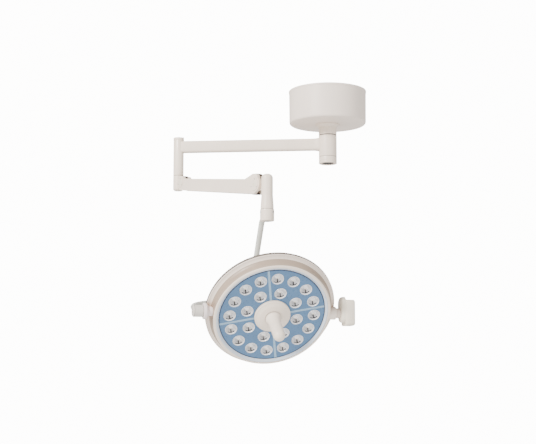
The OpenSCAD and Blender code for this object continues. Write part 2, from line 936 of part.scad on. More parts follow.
module lens_cups() {
    color("silver") head_frame() each_lamp() rotate_extrude() polygon([
        [6, board_top], [8, board_top], [cup_r, face_back - 1], [cup_r, face_front + cup_lip],
        [cup_r - 1.6, face_front + cup_lip], [cup_r - 2, face_back - 1]
    ]);
}

module face_panels() {
    color([0.48, 0.60, 0.70]) head_frame() difference() {
        each_quadrant() sector(hub_cover_r - 4, face_r - 0.1, face_front, face_back, cross_w);
        each_lamp() disc(cup_r + 0.1, face_front + eps, face_back - eps);
    }
}

module panel_cross() {
    bar_from = hub_cover_r - 2;
    color([0.75, 0.82, 0.88]) head_frame() each_quadrant()
        translate([bar_from, -cross_w / 2, face_back])
            cube([face_r - 1 - bar_from, cross_w, face_front - face_back + 0.8]);
}

module centre_hub() {
    color(white) head_frame() {
        rotate_extrude() polygon([
            [hub_cover_r, face_front + 0.9], [hub_cover_r, hub_front - 14], [78, hub_front - 10],
            [56, hub_front - 3], [36, hub_front], [30, hub_front], [30, hub_front - 4],
            [54, hub_front - 7], [74, hub_front - 13], [78, hub_front - 16], [78, face_front + 0.9]
        ]);
        ring(hub_cover_r - 5, hub_cover_r - 9, hub_front - 15, sink_top);
        difference() {
            disc(30, hub_front, sink_top);
            disc(holder_r + run_gap, hub_front + 1, sink_top - eps);
            disc(26, hub_front + 1, hub_bore_top);
        }
    }
}

// ---- Keypad pod ----

module pod_slab(l, w, r, from, to) {
    translate([from, 0, 0]) along_x() linear_extrude(to - from) round_rect(w, l, r);
}

module pod_neck() {
    color(white) head_frame() difference() {
        union() {
            translate([pod_root, 0, 0]) along_x() cylinder(r = pod_hub_r, h = pod_hub_to - pod_root);
            translate([pod_hub_to, 0, 0]) along_x() cylinder(r = pod_neck_r, h = pod_from - pod_hub_to);
        }
        head_solid();
        translate([pod_root - eps, 0, 0]) along_x() cylinder(r = pod_cable_r, h = pod_from - pod_root + 1);
    }
}

module pod_shell() {
    color(white) pod_frame() difference() {
        union() {
            translate([0, pod_back_rise, 0])
                pod_slab(pod_back_l, pod_back_w, pod_back_corner_r, pod_from, pod_slab_from);
            translate([0, pod_rise, 0])
                pod_slab(pod_l, pod_w, pod_corner_r, pod_slab_from, pod_face_from);
        }
        translate([0, pod_rise, 0])
            pod_slab(pod_l - 2 * pod_wall, pod_w - 2 * pod_wall, pod_corner_r - pod_wall,
                pod_slab_from + pod_wall, pod_face_from + eps);
        translate([pod_from - eps, 0, 0]) along_x() cylinder(r = pod_cable_r, h = 40);
    }
}

module pod_face() {
    color(warm_grey) pod_frame() translate([0, pod_rise, 0]) difference() {
        pod_slab(pod_l, pod_w, pod_corner_r, pod_face_from, pod_to);
        for (i = [-1:1]) translate([pod_face_from - eps, i * button_pitch, 0])
            along_x() cylinder(r = button_r + run_gap, h = pod_to - pod_face_from + 2 * eps);
    }
}

module pod_board() {
    color("darkgreen") pod_frame() translate([0, pod_rise, 0]) {
        pod_slab(pod_l - 2 * pod_wall, pod_w - 2 * pod_wall, pod_corner_r - pod_wall,
            pod_board_from, pod_board_from + pod_board_t);
        for (i = [-1:1]) translate([pod_board_from + pod_board_t, i * button_pitch - 3, -3])
            cube([pod_switch_h, 6, 6]);
    }
}

module button(place) {
    color("silver") pod_frame() translate([button_back, place * button_pitch + pod_rise, 0])
        along_x() cylinder(r = button_r, h = button_front - button_back);
}

module button_power() {
    button(1);
}

module button_brighter() {
    button(0);
}

module button_dimmer() {
    button(-1);
}

// ---- Handle ----

module handle_holder() {
    color(steel) head_frame() difference() {
        union() {
            disc(holder_r, 150, sink_top + 2);
            disc(25, hub_front - 1, hub_bore_top + 1);
        }
        disc(8, 151, 100);
    }
}

module sterile_handle() {
    tip_r = 25;
    grip_foot = hub_front + 2;
    color(white) head_frame() difference() {
        rotate_extrude() polygon(concat(
            [[0, grip_foot], [36, grip_foot], [36, grip_foot + 5], [30, grip_foot + 19], [grip_r, 96]],
            arc(0, handle_tip - tip_r, tip_r, 0, 90, 10)
        ));
        disc(holder_r + run_gap, 150 + run_gap, grip_foot - eps);
    }
}

ceiling_plate();
drop_tube();
flange_screws();
spindle();
spindle_nut();
canopy();
canopy_collar();
power_supply();
terminal_block();
slip_ring_stator();
extension_arm();
hub_bearings();
seam_seal();
hub_end_cap();
slip_ring_rotor();
arm_brake_screws();
post_cap();
post_bushes();
extension_cable();
rear_knuckle();
rear_spigot();
rear_circlip();
rear_pins();
spring_arm_beam();
boss_covers();
gap_seals();
balance_spring();
spring_adjuster();
parallel_rod();
spring_plunger();
front_knuckle();
front_pins();
knuckle_bush();
yoke_collar();
yoke_spigot();
yoke_circlip();
yoke_tube();
side_pivot_housing();
side_pivot_cap();
friction_ring();
pivot_shaft();
pivot_collar();
back_shell();
front_bezel();
rim_gasket();
heat_sink();
led_boards();
lens_cups();
face_panels();
panel_cross();
centre_hub();
pod_neck();
pod_shell();
pod_face();
pod_board();
button_power();
button_brighter();
button_dimmer();
handle_holder();
sterile_handle();
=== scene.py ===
"""Looks of a ceiling-mounted surgical light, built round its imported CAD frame. Metres, +Z up."""

import json
import math

import bmesh
import bpy
from mathutils import Matrix, Vector
from mathutils.geometry import delaunay_2d_cdt

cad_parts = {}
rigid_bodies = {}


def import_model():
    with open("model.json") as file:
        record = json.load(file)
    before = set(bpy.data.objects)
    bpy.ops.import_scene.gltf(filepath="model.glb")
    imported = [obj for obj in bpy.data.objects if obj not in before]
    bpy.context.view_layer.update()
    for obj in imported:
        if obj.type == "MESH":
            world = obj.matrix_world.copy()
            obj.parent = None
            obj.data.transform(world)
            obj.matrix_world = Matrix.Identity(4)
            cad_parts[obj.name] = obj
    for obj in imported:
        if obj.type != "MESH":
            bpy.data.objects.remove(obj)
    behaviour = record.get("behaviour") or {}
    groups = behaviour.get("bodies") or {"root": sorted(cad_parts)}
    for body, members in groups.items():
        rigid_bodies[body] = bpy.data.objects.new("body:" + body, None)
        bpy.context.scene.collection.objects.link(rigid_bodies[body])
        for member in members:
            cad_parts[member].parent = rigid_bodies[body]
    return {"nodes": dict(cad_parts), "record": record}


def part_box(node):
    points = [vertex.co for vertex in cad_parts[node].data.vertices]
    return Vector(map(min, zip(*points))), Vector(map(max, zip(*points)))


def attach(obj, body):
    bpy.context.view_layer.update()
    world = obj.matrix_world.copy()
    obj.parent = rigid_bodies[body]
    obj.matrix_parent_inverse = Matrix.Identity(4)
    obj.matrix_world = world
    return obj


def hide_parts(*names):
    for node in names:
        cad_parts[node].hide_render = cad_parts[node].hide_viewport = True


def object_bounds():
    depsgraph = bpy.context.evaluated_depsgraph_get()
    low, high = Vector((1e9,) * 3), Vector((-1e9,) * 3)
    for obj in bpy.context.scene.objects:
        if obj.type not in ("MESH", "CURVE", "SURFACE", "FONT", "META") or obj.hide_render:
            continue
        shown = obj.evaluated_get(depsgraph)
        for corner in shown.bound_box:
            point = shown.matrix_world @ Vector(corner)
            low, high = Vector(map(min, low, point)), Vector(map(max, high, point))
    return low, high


for leftover in list(bpy.data.objects):
    bpy.data.objects.remove(leftover)
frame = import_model()
cad_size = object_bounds()

# ---- Places, from the frame's joints ----

JOINTS = {joint["name"]: joint for joint in frame["record"]["behaviour"]["joints"]}
UP = Vector((0, 0, 1))


def joint_at(name):
    """A joint's place."""
    return Vector(JOINTS[name]["pos_m"])


def joint_axis(name):
    """A joint's direction, of length one."""
    return Vector(JOINTS[name]["axis"]).normalized()


def placed(origin, x, z):
    """A matrix at origin with the given x and z directions."""
    matrix = Matrix((x, z.cross(x), z)).transposed().to_4x4()
    matrix.translation = origin
    return matrix


def radius_of(node):
    """Half a node's width along x."""
    low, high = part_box(node)
    return (high.x - low.x) / 2


def top_of(node):
    """The height of a node's top."""
    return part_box(node)[1].z


def bottom_of(node):
    """The height of a node's underside."""
    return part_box(node)[0].z


side = joint_axis("head_tilt")
beam = joint_axis("handle_turn")
arm_side = -joint_axis("spring_tilt")
arm_along = (joint_at("front_level") - joint_at("spring_tilt")).normalized()
arm_span = (joint_at("front_level") - joint_at("spring_tilt")).length
post_at = joint_at("rear_swivel") * Vector((1, 1, 0))
knuckle_at = joint_at("yoke_swivel") * Vector((1, 1, 0))

COLUMN = Matrix.Identity(4)
POST = Matrix.Translation(post_at)
SPRING = placed(joint_at("spring_tilt"), arm_along, arm_along.cross(arm_side))
YOKE = placed(knuckle_at + UP * bottom_of("yoke_collar"), side, UP)
HEAD = placed(joint_at("head_tilt"), side, beam)
TILT_AXIS = HEAD @ Matrix.Rotation(math.pi / 2, 4, "Y")
POD = placed(joint_at("head_tilt"), side, (side.cross(UP)).normalized())

# ---- Camera, light and floor ----

PHOTO_WIDTH = 536
PHOTO_FOCAL = 1200
SENSOR_WIDTH = 36.0
BACKDROP_LEVEL = 14.0
FLOOR_HALF = 5.5
FLOOR_DROP = 1.2
camera_at = Vector((0.2609, -5.9058, -1.4945))
camera_looks = Vector((-0.0938, 0.9858, 0.1392))


def add_camera():
    """The camera, at the viewing angle."""
    data = bpy.data.cameras.new("camera")
    data.sensor_width = SENSOR_WIDTH
    data.lens = SENSOR_WIDTH * PHOTO_FOCAL / PHOTO_WIDTH
    camera = bpy.data.objects.new("camera", data)
    camera.location = camera_at
    camera.rotation_euler = camera_looks.to_track_quat("-Z", "Y").to_euler()
    bpy.context.scene.collection.objects.link(camera)
    bpy.context.scene.camera = camera


def add_area(name, at, aim, size, power, colour=(1, 1, 1)):
    """A soft round lamp that points at aim."""
    data = bpy.data.lights.new(name, "AREA")
    data.shape = "DISK"
    data.size = size
    data.energy = power
    data.color = colour
    lamp = bpy.data.objects.new(name, data)
    lamp.location = at
    lamp.rotation_euler = (Vector(aim) - Vector(at)).to_track_quat("-Z", "Y").to_euler()
    bpy.context.scene.collection.objects.link(lamp)


def add_world(colour, strength):
    """An even surround, brighter where it is seen directly."""
    world = bpy.data.worlds.new("studio")
    world.use_nodes = True
    tree = world.node_tree
    background = tree.nodes["Background"]
    background.inputs["Color"].default_value = (*colour, 1)
    seen = tree.nodes.new("ShaderNodeLightPath").outputs["Is Camera Ray"]
    level = tree.nodes.new("ShaderNodeMapRange")
    level.inputs["To Min"].default_value = strength
    level.inputs["To Max"].default_value = BACKDROP_LEVEL
    tree.links.new(seen, level.inputs["Value"])
    tree.links.new(level.outputs["Result"], background.inputs["Strength"])
    bpy.context.scene.world = world


# ---- Materials ----

def linear(red, green, blue):
    """A colour from 0-255 display values."""
    def one(value):
        value /= 255
        return value / 12.92 if value <= 0.04045 else ((value + 0.055) / 1.055) ** 2.4
    return (one(red), one(green), one(blue), 1)


class Nodes:
    """A material's node tree with short calls for the nodes used here."""

    def __init__(self, name):
        self.material = bpy.data.materials.new(name)
        self.material.use_nodes = True
        self.tree = self.material.node_tree
        self.shader = self.tree.nodes["Principled BSDF"]
        self.place = self.tree.nodes.new("ShaderNodeTexCoord").outputs["Object"]

    def link(self, source, target):
        """Joins a socket to another."""
        self.tree.links.new(source, target)

    def noise(self, scale, detail=3.0, stretch=None):
        """Soft noise in object space, stretched if asked."""
        node = self.tree.nodes.new("ShaderNodeTexNoise")
        node.inputs["Scale"].default_value = scale
        node.inputs["Detail"].default_value = detail
        place = self.place
        if stretch:
            mapping = self.tree.nodes.new("ShaderNodeMapping")
            mapping.inputs["Scale"].default_value = stretch
            self.link(place, mapping.inputs["Vector"])
            place = mapping.outputs["Vector"]
        self.link(place, node.inputs["Vector"])
        return node.outputs["Fac"]

    def fit(self, value, low, high, new_low, new_high):
        """A value moved from one range to another, and held inside it."""
        node = self.tree.nodes.new("ShaderNodeMapRange")
        settings = (low, high, new_low, new_high)
        for name, number in zip(("From Min", "From Max", "To Min", "To Max"), settings):
            node.inputs[name].default_value = number
        self.link(value, node.inputs["Value"])
        return node.outputs["Result"]

    def maths(self, kind, first, second):
        """One sum of two numbers or sockets."""
        node = self.tree.nodes.new("ShaderNodeMath")
        node.operation = kind
        for slot, value in zip(node.inputs, (first, second)):
            if isinstance(value, (int, float)):
                slot.default_value = value
            else:
                self.link(value, slot)
        return node.outputs["Value"]

    def mix(self, factor, first, second):
        """A blend of two colours or sockets."""
        node = self.tree.nodes.new("ShaderNodeMix")
        node.data_type = "RGBA"
        self.link(factor, node.inputs["Factor"])
        for slot, value in zip((node.inputs[6], node.inputs[7]), (first, second)):
            if isinstance(value, tuple):
                slot.default_value = value
            else:
                self.link(value, slot)
        return node.outputs[2]

    def crevice(self, distance):
        """1 in the open and less in corners."""
        node = self.tree.nodes.new("ShaderNodeAmbientOcclusion")
        node.samples = 6
        node.inputs["Distance"].default_value = distance
        return node.outputs["AO"]

    def edge(self, radius):
        """1 on edges tighter than radius and 0 on flat stretches."""
        bevel = self.tree.nodes.new("ShaderNodeBevel")
        bevel.samples = 4
        bevel.inputs["Radius"].default_value = radius
        flat = self.tree.nodes.new("ShaderNodeNewGeometry")
        dot = self.tree.nodes.new("ShaderNodeVectorMath")
        dot.operation = "DOT_PRODUCT"
        self.link(bevel.outputs["Normal"], dot.inputs[0])
        self.link(flat.outputs["Normal"], dot.inputs[1])
        return self.fit(dot.outputs["Value"], 0.98, 0.80, 0.0, 1.0)

    def bump(self, height, distance):
        """Fine relief on the surface."""
        node = self.tree.nodes.new("ShaderNodeBump")
        node.inputs["Strength"].default_value = 1.0
        node.inputs["Distance"].default_value = distance
        self.link(height, node.inputs["Height"])
        self.link(node.outputs["Normal"], self.shader.inputs["Normal"])


def shade(colour, amount):
    """A colour made lighter or darker."""
    return tuple(min(1.0, channel * amount) for channel in colour[:3]) + (1,)


def surface(name, colour, rough, metal=0.0, coat=0.0, mottle=0.03, mottle_scale=7, grain=0.00006,
            grain_scale=900, painted_shade=0.25, wear=0.35, brushed=None, shade_reach=0.012, shade_tint=None):
    """A painted, moulded or machined finish: cloudy tint, fine grain, worn edges and painted shade that darkens
    corners.
    """
    nodes = Nodes(name)
    cloud = nodes.fit(nodes.noise(mottle_scale, 4.0), 0.3, 0.7, 0.0, 1.0)
    tint = nodes.mix(cloud, shade(colour, 1 - mottle), shade(colour, 1 + mottle))
    # Painted shade: ambient occlusion darkens the colour in corners and recesses towards the shade tint.
    corner_shade_mask = nodes.fit(nodes.crevice(shade_reach), 0.35, 1.0, painted_shade, 0.0)
    tint = nodes.mix(corner_shade_mask, tint, shade_tint or shade(colour, 0.45))
    scuffs = nodes.fit(nodes.noise(60, 5.0), 0.45, 0.62, 0.0, wear)
    rubbed = nodes.maths("MULTIPLY", nodes.edge(0.0012), scuffs)
    tint = nodes.mix(rubbed, tint, shade(colour, 1.12))
    nodes.link(tint, nodes.shader.inputs["Base Color"])
    fine = nodes.noise(grain_scale, 2.0, brushed)
    nodes.bump(fine, grain)
    smear = nodes.fit(nodes.noise(mottle_scale * 4, 3.0), 0.3, 0.7, rough - 0.05, rough + 0.06)
    nodes.link(nodes.maths("SUBTRACT", smear, nodes.maths("MULTIPLY", rubbed, 0.1)),
               nodes.shader.inputs["Roughness"])
    nodes.shader.inputs["Metallic"].default_value = metal
    nodes.shader.inputs["Coat Weight"].default_value = coat
    nodes.shader.inputs["Coat Roughness"].default_value = 0.12
    return nodes.material


WARM_WHITE = linear(242, 227, 211)
PAINT = surface("arm_paint", WARM_WHITE, 0.34, coat=0.15)
CANOPY = surface("canopy_shell", linear(240, 226, 214), 0.42, mottle=0.025, mottle_scale=4)
# Painted shade: a wide, strong brown occlusion tint darkens the head's cove and recesses.
HEAD_PAINT = surface("head_paint", linear(238, 225, 212), 0.30, coat=0.25, painted_shade=0.85, shade_reach=0.06,
                     shade_tint=linear(168, 140, 118))
BEAD = surface("back_bead", linear(104, 95, 88), 0.6, wear=0.1)
# Painted shade: the cove band is coloured dark brown-grey for the shade and dark reflection in the concave
# cove, with extra painted shade in its recesses.
COVE_SHADE = surface("cove_paint", linear(164, 146, 130), 0.42, painted_shade=0.9, shade_reach=0.05,
               shade_tint=linear(128, 104, 86))
BEZEL_RING = surface("bezel_ring", linear(206, 215, 226), 0.28, coat=0.3)
YOKE_PAINT = surface("yoke_paint", linear(212, 212, 204), 0.36, coat=0.1)
PIVOT_GREY = surface("pivot_grey", linear(206, 200, 192), 0.40)
PIVOT_PINK = surface("pivot_collar", linear(234, 222, 220), 0.36)
CREAM = surface("cream_plastic", linear(238, 224, 208), 0.38, mottle=0.02, grain=0.00009)
POD_WHITE = surface("pod_plastic", linear(236, 226, 208), 0.42, grain=0.0001, grain_scale=1300)
KEYPAD = surface("keypad_film", linear(226, 219, 209), 0.33, mottle=0.02)
KEY = surface("key_rubber", linear(168, 170, 170), 0.55, grain=0.0001)
BLUE = surface("blue_panel", linear(70, 110, 150), 0.30, coat=0.35, mottle=0.07, mottle_scale=26, wear=0.1)
CROSS = surface("cross_strip", linear(150, 180, 204), 0.32, mottle=0.04, mottle_scale=30)
OUTLINE = surface("face_seal", linear(22, 44, 78), 0.55, wear=0.1)
STEEL = surface("machined_steel", linear(176, 178, 182), 0.30, metal=1.0, grain_scale=700,
                brushed=(1.0, 1.0, 14.0), mottle=0.05)
SPRING_STEEL = surface("spring_steel", linear(120, 122, 128), 0.35, metal=1.0)
BRONZE = surface("bearing_bronze", linear(176, 134, 80), 0.35, metal=1.0)
ALLOY = surface("bare_alloy", linear(186, 188, 190), 0.45, metal=1.0, brushed=(12.0, 1.0, 1.0))
RUBBER = surface("black_rubber", linear(38, 37, 38), 0.75, wear=0.15, grain=0.0002)
SEAM = surface("seam_rubber", linear(92, 84, 80), 0.8, wear=0.05, grain=0.0002)
BOARD = surface("circuit_board", linear(40, 88, 56), 0.4, mottle=0.1, mottle_scale=90)
# Painted shade: a little occlusion darkening inside the mirror cups.
CHROME = surface("cup_mirror", linear(252, 252, 255), 0.16, metal=0.25, coat=0.6, grain=0.00002,
                 grain_scale=300, mottle=0.015, painted_shade=0.12)
# Painted reflection and shade: the dark fins and cradles low in the lens cups.
CUP_PAINTED_SHADE = surface("lens_core", linear(44, 42, 46), 0.35, mottle=0.1, mottle_scale=200)
CHIP = surface("led_chip", linear(244, 236, 206), 0.5, mottle=0.06, mottle_scale=400)

CAD_FINISH = {
    "white_paint": PAINT, "grey_paint": YOKE_PAINT, "head_paint": HEAD_PAINT, "white_plastic": CANOPY,
    "cream_plastic": CREAM, "steel": STEEL, "bronze": BRONZE, "dark_rubber": RUBBER,
    "cable_rubber": RUBBER, "alloy": ALLOY, "board_green": BOARD, "cup_chrome": CHROME,
    "panel_blue": BLUE, "cross_blue": CROSS, "key_grey": KEY, "keypad_grey": KEYPAD,
}
NODE_FINISH = {"balance_spring": SPRING_STEEL, "seam_seal": SEAM, "post_cap": PAINT, "boss_covers": PAINT,
               "spring_arm_beam": PAINT, "side_pivot_housing": PIVOT_GREY, "side_pivot_cap": PIVOT_GREY,
               "pivot_collar": PIVOT_PINK}
SOFTENED_NODES = ("rear_knuckle", "spring_arm_beam", "boss_covers", "front_knuckle")
NODE_EDGE_R = 0.0018


def finish_cad():
    """Every CAD node gets its finish."""
    slots = {part["node"]: part["material_slot"] for part in frame["record"]["subparts"]}
    for node, piece in frame["nodes"].items():
        finish = NODE_FINISH.get(node, CAD_FINISH[slots[node]])
        for index in range(len(piece.data.materials)):
            piece.data.materials[index] = finish


# ---- Mesh building ----

def fillet(corners, steps=6, closed=False):
    """An outline through corners (x, y, radius), each rounded to its radius."""
    outline = []
    count = len(corners)
    for index, (x, y, radius) in enumerate(corners):
        at_end = not closed and index in (0, count - 1)
        if radius == 0 or at_end:
            outline.append((x, y))
            continue
        here = Vector((x, y))
        back = (Vector(corners[index - 1][:2]) - here).normalized()
        ahead = (Vector(corners[(index + 1) % count][:2]) - here).normalized()
        half = back.angle(ahead) / 2
        centre = here + (back + ahead).normalized() * (radius / math.sin(half))
        start = here + back * (radius / math.tan(half)) - centre
        stop = here + ahead * (radius / math.tan(half)) - centre
        swing = math.pi - 2 * half
        for step in range(steps + 1):
            part = step / steps
            point = start * math.sin((1 - part) * swing) + stop * math.sin(part * swing)
            outline.append(tuple(centre + point / math.sin(swing)))
    return outline


def arc(cx, cy, r, start, stop, steps):
    """Points of an arc about (cx, cy), from start to stop in degrees."""
    angles = [math.radians(start + (stop - start) * step / steps) for step in range(steps + 1)]
    return [(cx + r * math.cos(angle), cy + r * math.sin(angle)) for angle in angles]


def lathe(outline, steps=96):
    """Verts and faces of an outline (radius, height) turned about z."""
    verts, faces, rings = [], [], []
    for radius, height in outline:
        if radius < 1e-6:
            verts.append((0, 0, height))
            rings.append([len(verts) - 1] * steps)
            continue
        rings.append(list(range(len(verts), len(verts) + steps)))
        for step in range(steps):
            angle = 2 * math.pi * step / steps
            verts.append((radius * math.cos(angle), radius * math.sin(angle), height))
    for low, high in zip(rings, rings[1:]):
        for step in range(steps):
            after = (step + 1) % steps
            ring = [low[step], low[after], high[after], high[step]]
            faces.append(list(dict.fromkeys(ring)))
    return verts, [face for face in faces if len(face) > 2]


def loft(sections, capped=True):
    """Verts and faces through rings of points, all of one length."""
    count = len(sections[0])
    verts = [tuple(point) for section in sections for point in section]
    faces = []
    for level in range(len(sections) - 1):
        for step in range(count):
            after = (step + 1) % count
            base, top = level * count, (level + 1) * count
            faces.append([base + step, base + after, top + after, top + step])
    if capped:
        faces.append(list(range(count)))
        faces.append([len(verts) - 1 - step for step in range(count)])
    return verts, faces


def sweep(points, radius, steps=32):
    """A round tube along points."""
    points = [Vector(point) for point in points]
    across = None
    sections = []
    for index, point in enumerate(points):
        along = (points[min(index + 1, len(points) - 1)] - points[max(index - 1, 0)]).normalized()
        across = along.orthogonal() if across is None else across - along * across.dot(along)
        across.normalize()
        other = along.cross(across)
        ring = []
        for step in range(steps):
            angle = 2 * math.pi * step / steps
            ring.append(point + radius * (across * math.cos(angle) + other * math.sin(angle)))
        sections.append(ring)
    return loft(sections)


def rounded_slab(width, height, radius, steps=6):
    """A rounded rectangle's outline, centred."""
    x, y = width / 2, height / 2
    corners = [(x, y, radius), (-x, y, radius), (-x, -y, radius), (x, -y, radius)]
    return fillet(corners, steps, closed=True)


def joined(parts):
    """Several (verts, faces, matrix) as one mesh in the row frame."""
    verts, faces = [], []
    for part_verts, part_faces, matrix in parts:
        start = len(verts)
        verts += [tuple(matrix @ Vector(vert)) for vert in part_verts]
        faces += [[start + index for index in face] for face in part_faces]
    return verts, faces


def piece(name, parts, finish, body, slot, replaced=(), crease=35, bevel=0.0):
    """A finished piece from (verts, faces, matrix) parts, riding on a body."""
    verts, faces = joined(parts)
    mesh = bpy.data.meshes.new(name)
    mesh.from_pydata(verts, [], faces)
    shape = bmesh.new()
    shape.from_mesh(mesh)
    bmesh.ops.recalc_face_normals(shape, faces=shape.faces)
    shape.to_mesh(mesh)
    shape.free()
    mesh.polygons.foreach_set("use_smooth", [True] * len(mesh.polygons))
    mesh.set_sharp_from_angle(angle=math.radians(crease))
    mesh.materials.append(finish)
    made = bpy.data.objects.new(name, mesh)
    bpy.context.scene.collection.objects.link(made)
    if bevel:
        soften(made, bevel)
    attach(made, body)
    if replaced:
        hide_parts(*replaced)
    return made


def soften(made, width, segments=3):
    """Rounds a CAD node's or a piece's sharp edges."""
    modifier = made.modifiers.new("rounded_edges", "BEVEL")
    modifier.width = width
    modifier.segments = segments
    modifier.limit_method = "ANGLE"
    modifier.angle_limit = math.radians(38)
    modifier.harden_normals = True


def around(count, radius, turn=0.0):
    """Matrices spaced round z at a radius."""
    return [Matrix.Rotation(turn + 2 * math.pi * index / count, 4, "Z") @ Matrix.Translation((radius, 0, 0))
            for index in range(count)]


def screw_head(radius, height):
    """A cap screw's head with a hexagon socket, standing on z = 0."""
    return lathe(fillet([(0, height * 0.35, 0), (radius * 0.5, height * 0.35, 0),
                         (radius * 0.56, height, 0), (radius, height, radius * 0.25), (radius, 0, 0)], 3), 24)


# ---- Ceiling mount and column ----

column_r = radius_of("hub_end_cap")
canopy_r = radius_of("canopy")
canopy_low = bottom_of("canopy")
collar_r = radius_of("canopy_collar")
collar_low = bottom_of("canopy_collar")
seam_z = bottom_of("drop_tube")
hub_top = seam_z - 0.004
cap_top = top_of("hub_end_cap")
hub_low = bottom_of("hub_end_cap")
CANOPY_WALL = 0.0025
CANOPY_LIP = 0.0014
SPINDLE_R = 0.0242
SEAM_BORE = 0.0302


def canopy():
    """The ceiling canopy's drum, with a rolled upper rim and a rounded lower edge."""
    inner_r = canopy_r - CANOPY_WALL - CANOPY_LIP
    floor_z = canopy_low + CANOPY_WALL
    outline = [
        (inner_r, -0.002, 0), (canopy_r, -0.002, 0.0012), (canopy_r - 0.0004, -0.012, 0.001),
        (canopy_r - 0.0016, -0.0128, 0.001), (canopy_r - 0.003, canopy_low, 0.012), (0.0535, canopy_low, 0.001),
        (0.0535, floor_z, 0), (canopy_r - 0.006, floor_z, 0.010), (inner_r, -0.002, 0),
    ]
    piece("canopy_shell", [(*lathe(fillet(outline, 10), 144), COLUMN)], CANOPY, "ceiling_mount",
          "white_plastic", ["canopy"])


def canopy_collar():
    """The stepped ring that closes the canopy round the column."""
    reach = collar_r - column_r
    outline = [
        (column_r, canopy_low + 0.001, 0), (collar_r, canopy_low + 0.001, 0),
        (collar_r, canopy_low - 0.005, 0.002),
        (collar_r - reach * 0.45, canopy_low - 0.009, 0.004), (column_r + 0.0022, collar_low + 0.002, 0.003),
        (column_r + 0.0018, collar_low, 0.0008), (column_r, collar_low, 0),
    ]
    piece("canopy_collar_ring", [(*lathe(fillet(outline), 96), COLUMN)], PAINT, "ceiling_mount",
          "white_plastic", ["canopy_collar"])


def drop_tube():
    """The fixed column, from its flange down to the seam."""
    flange_r = radius_of("drop_tube")
    top = top_of("drop_tube")
    bore = column_r - 0.007
    outline = [
        (bore, top, 0), (flange_r, top, 0.0015), (flange_r, top - 0.012, 0.0015),
        (column_r, top - 0.012, 0.004),
        (column_r, seam_z + 0.0012, 0), (column_r - 0.0012, seam_z, 0), (SPINDLE_R, seam_z, 0),
        (SPINDLE_R, seam_z + 0.02, 0), (bore, seam_z + 0.02, 0), (bore, top, 0),
    ]
    piece("column_tube", [(*lathe(fillet(outline), 96), COLUMN)], PAINT, "ceiling_mount", "white_paint",
          ["drop_tube"])


def hub_cap():
    """The turning hub's lower cap, its seams and the plate set into its underside."""
    groove = 0.0009
    outline = [
        (0.03, cap_top, 0), (column_r - groove, cap_top, 0), (column_r - groove, cap_top - 0.0016, 0),
        (column_r, cap_top - 0.0016, 0.0006), (column_r, cap_top - 0.021, 0.0004),
        (column_r - 0.0005, cap_top - 0.0215, 0), (column_r, cap_top - 0.022, 0.0004),
        (column_r, hub_low, 0.0022), (column_r - 0.005, hub_low, 0.001), (column_r - 0.006, hub_low + 0.005, 0),
        (0, hub_low + 0.005, 0),
    ]
    piece("hub_cap_shell", [(*lathe(fillet(outline), 96), COLUMN)], PAINT, "extension", "white_paint",
          ["hub_end_cap"])
    seam = [(column_r - 0.0004, cap_top - 0.0016), (column_r - 0.0002, cap_top),
            (column_r - 0.0004, cap_top + 0.0004)]
    piece("hub_cap_seam", [(*lathe(seam, 96), COLUMN)], SEAM, "extension", "dark_rubber")
    ring = fillet([(SEAM_BORE, hub_top - 0.0002, 0), (column_r - 0.0006, hub_top - 0.0002, 0),
                   (column_r - 0.0010, (hub_top + seam_z) / 2, 0), (column_r - 0.0006, seam_z - 0.0004, 0),
                   (SEAM_BORE, seam_z - 0.0004, 0)], 3)
    piece("column_seam_ring", [(*lathe(ring, 96), COLUMN)], SEAM, "extension", "dark_rubber", ["seam_seal"])
    plate = lathe(fillet([(0, 0.0014, 0), (0.030, 0.0014, 0.0006), (0.030, 0, 0)], 3), 64)
    flip = Matrix.Translation((0, 0, hub_low + 0.005)) @ Matrix.Rotation(math.pi, 4, "X")
    piece("hub_cap_plate", [(*plate, flip)], RUBBER, "extension", "dark_rubber")


# ---- Extension arm ----

arm_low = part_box("extension_arm")[0]
post_r = post_at.x - arm_low.x
post_low = arm_low.z
post_top = bottom_of("post_cap") + 0.008
ARM_Z = -0.272
ARM_H = 0.058
ARM_W = 0.044
HUB_BORE = 0.0341
POST_BORE = 0.0151


def arm_bar():
    """The level tube, flaring where it is welded to the hub."""
    sections = []
    flare = [(post_at.x + 0.004, 0.0), (-column_r - 0.030, 0.0), (-column_r - 0.020, 0.0003),
             (-column_r - 0.012, 0.0011), (-column_r - 0.006, 0.0024), (-column_r + 0.002, 0.0030),
             (-column_r + 0.014, 0.0030)]
    for x, grow in flare:
        outline = rounded_slab(ARM_H + 2 * grow, ARM_W + 2 * grow, 0.010 + grow, 8)
        sections.append([(x, across, ARM_Z + height) for height, across in outline])
    return loft(sections)


def extension_arm():
    """The hub, the level arm and the upright post at its far end, as one welded piece."""
    hub = lathe(fillet([
        (HUB_BORE, hub_top, 0), (column_r - 0.0012, hub_top, 0), (column_r, hub_top - 0.0012, 0),
        (column_r, cap_top, 0.0008), (HUB_BORE, cap_top, 0), (HUB_BORE, hub_top, 0)], 4), 96)
    post = lathe(fillet([
        (POST_BORE, post_top, 0), (post_r, post_top, 0.0008), (post_r, post_low, 0.0012),
        (POST_BORE, post_low, 0), (POST_BORE, post_top, 0)], 4), 96)
    piece("extension_arm_tube", [(*hub, COLUMN), (*arm_bar(), COLUMN), (*post, POST)], PAINT, "extension",
          "white_paint", ["extension_arm"])


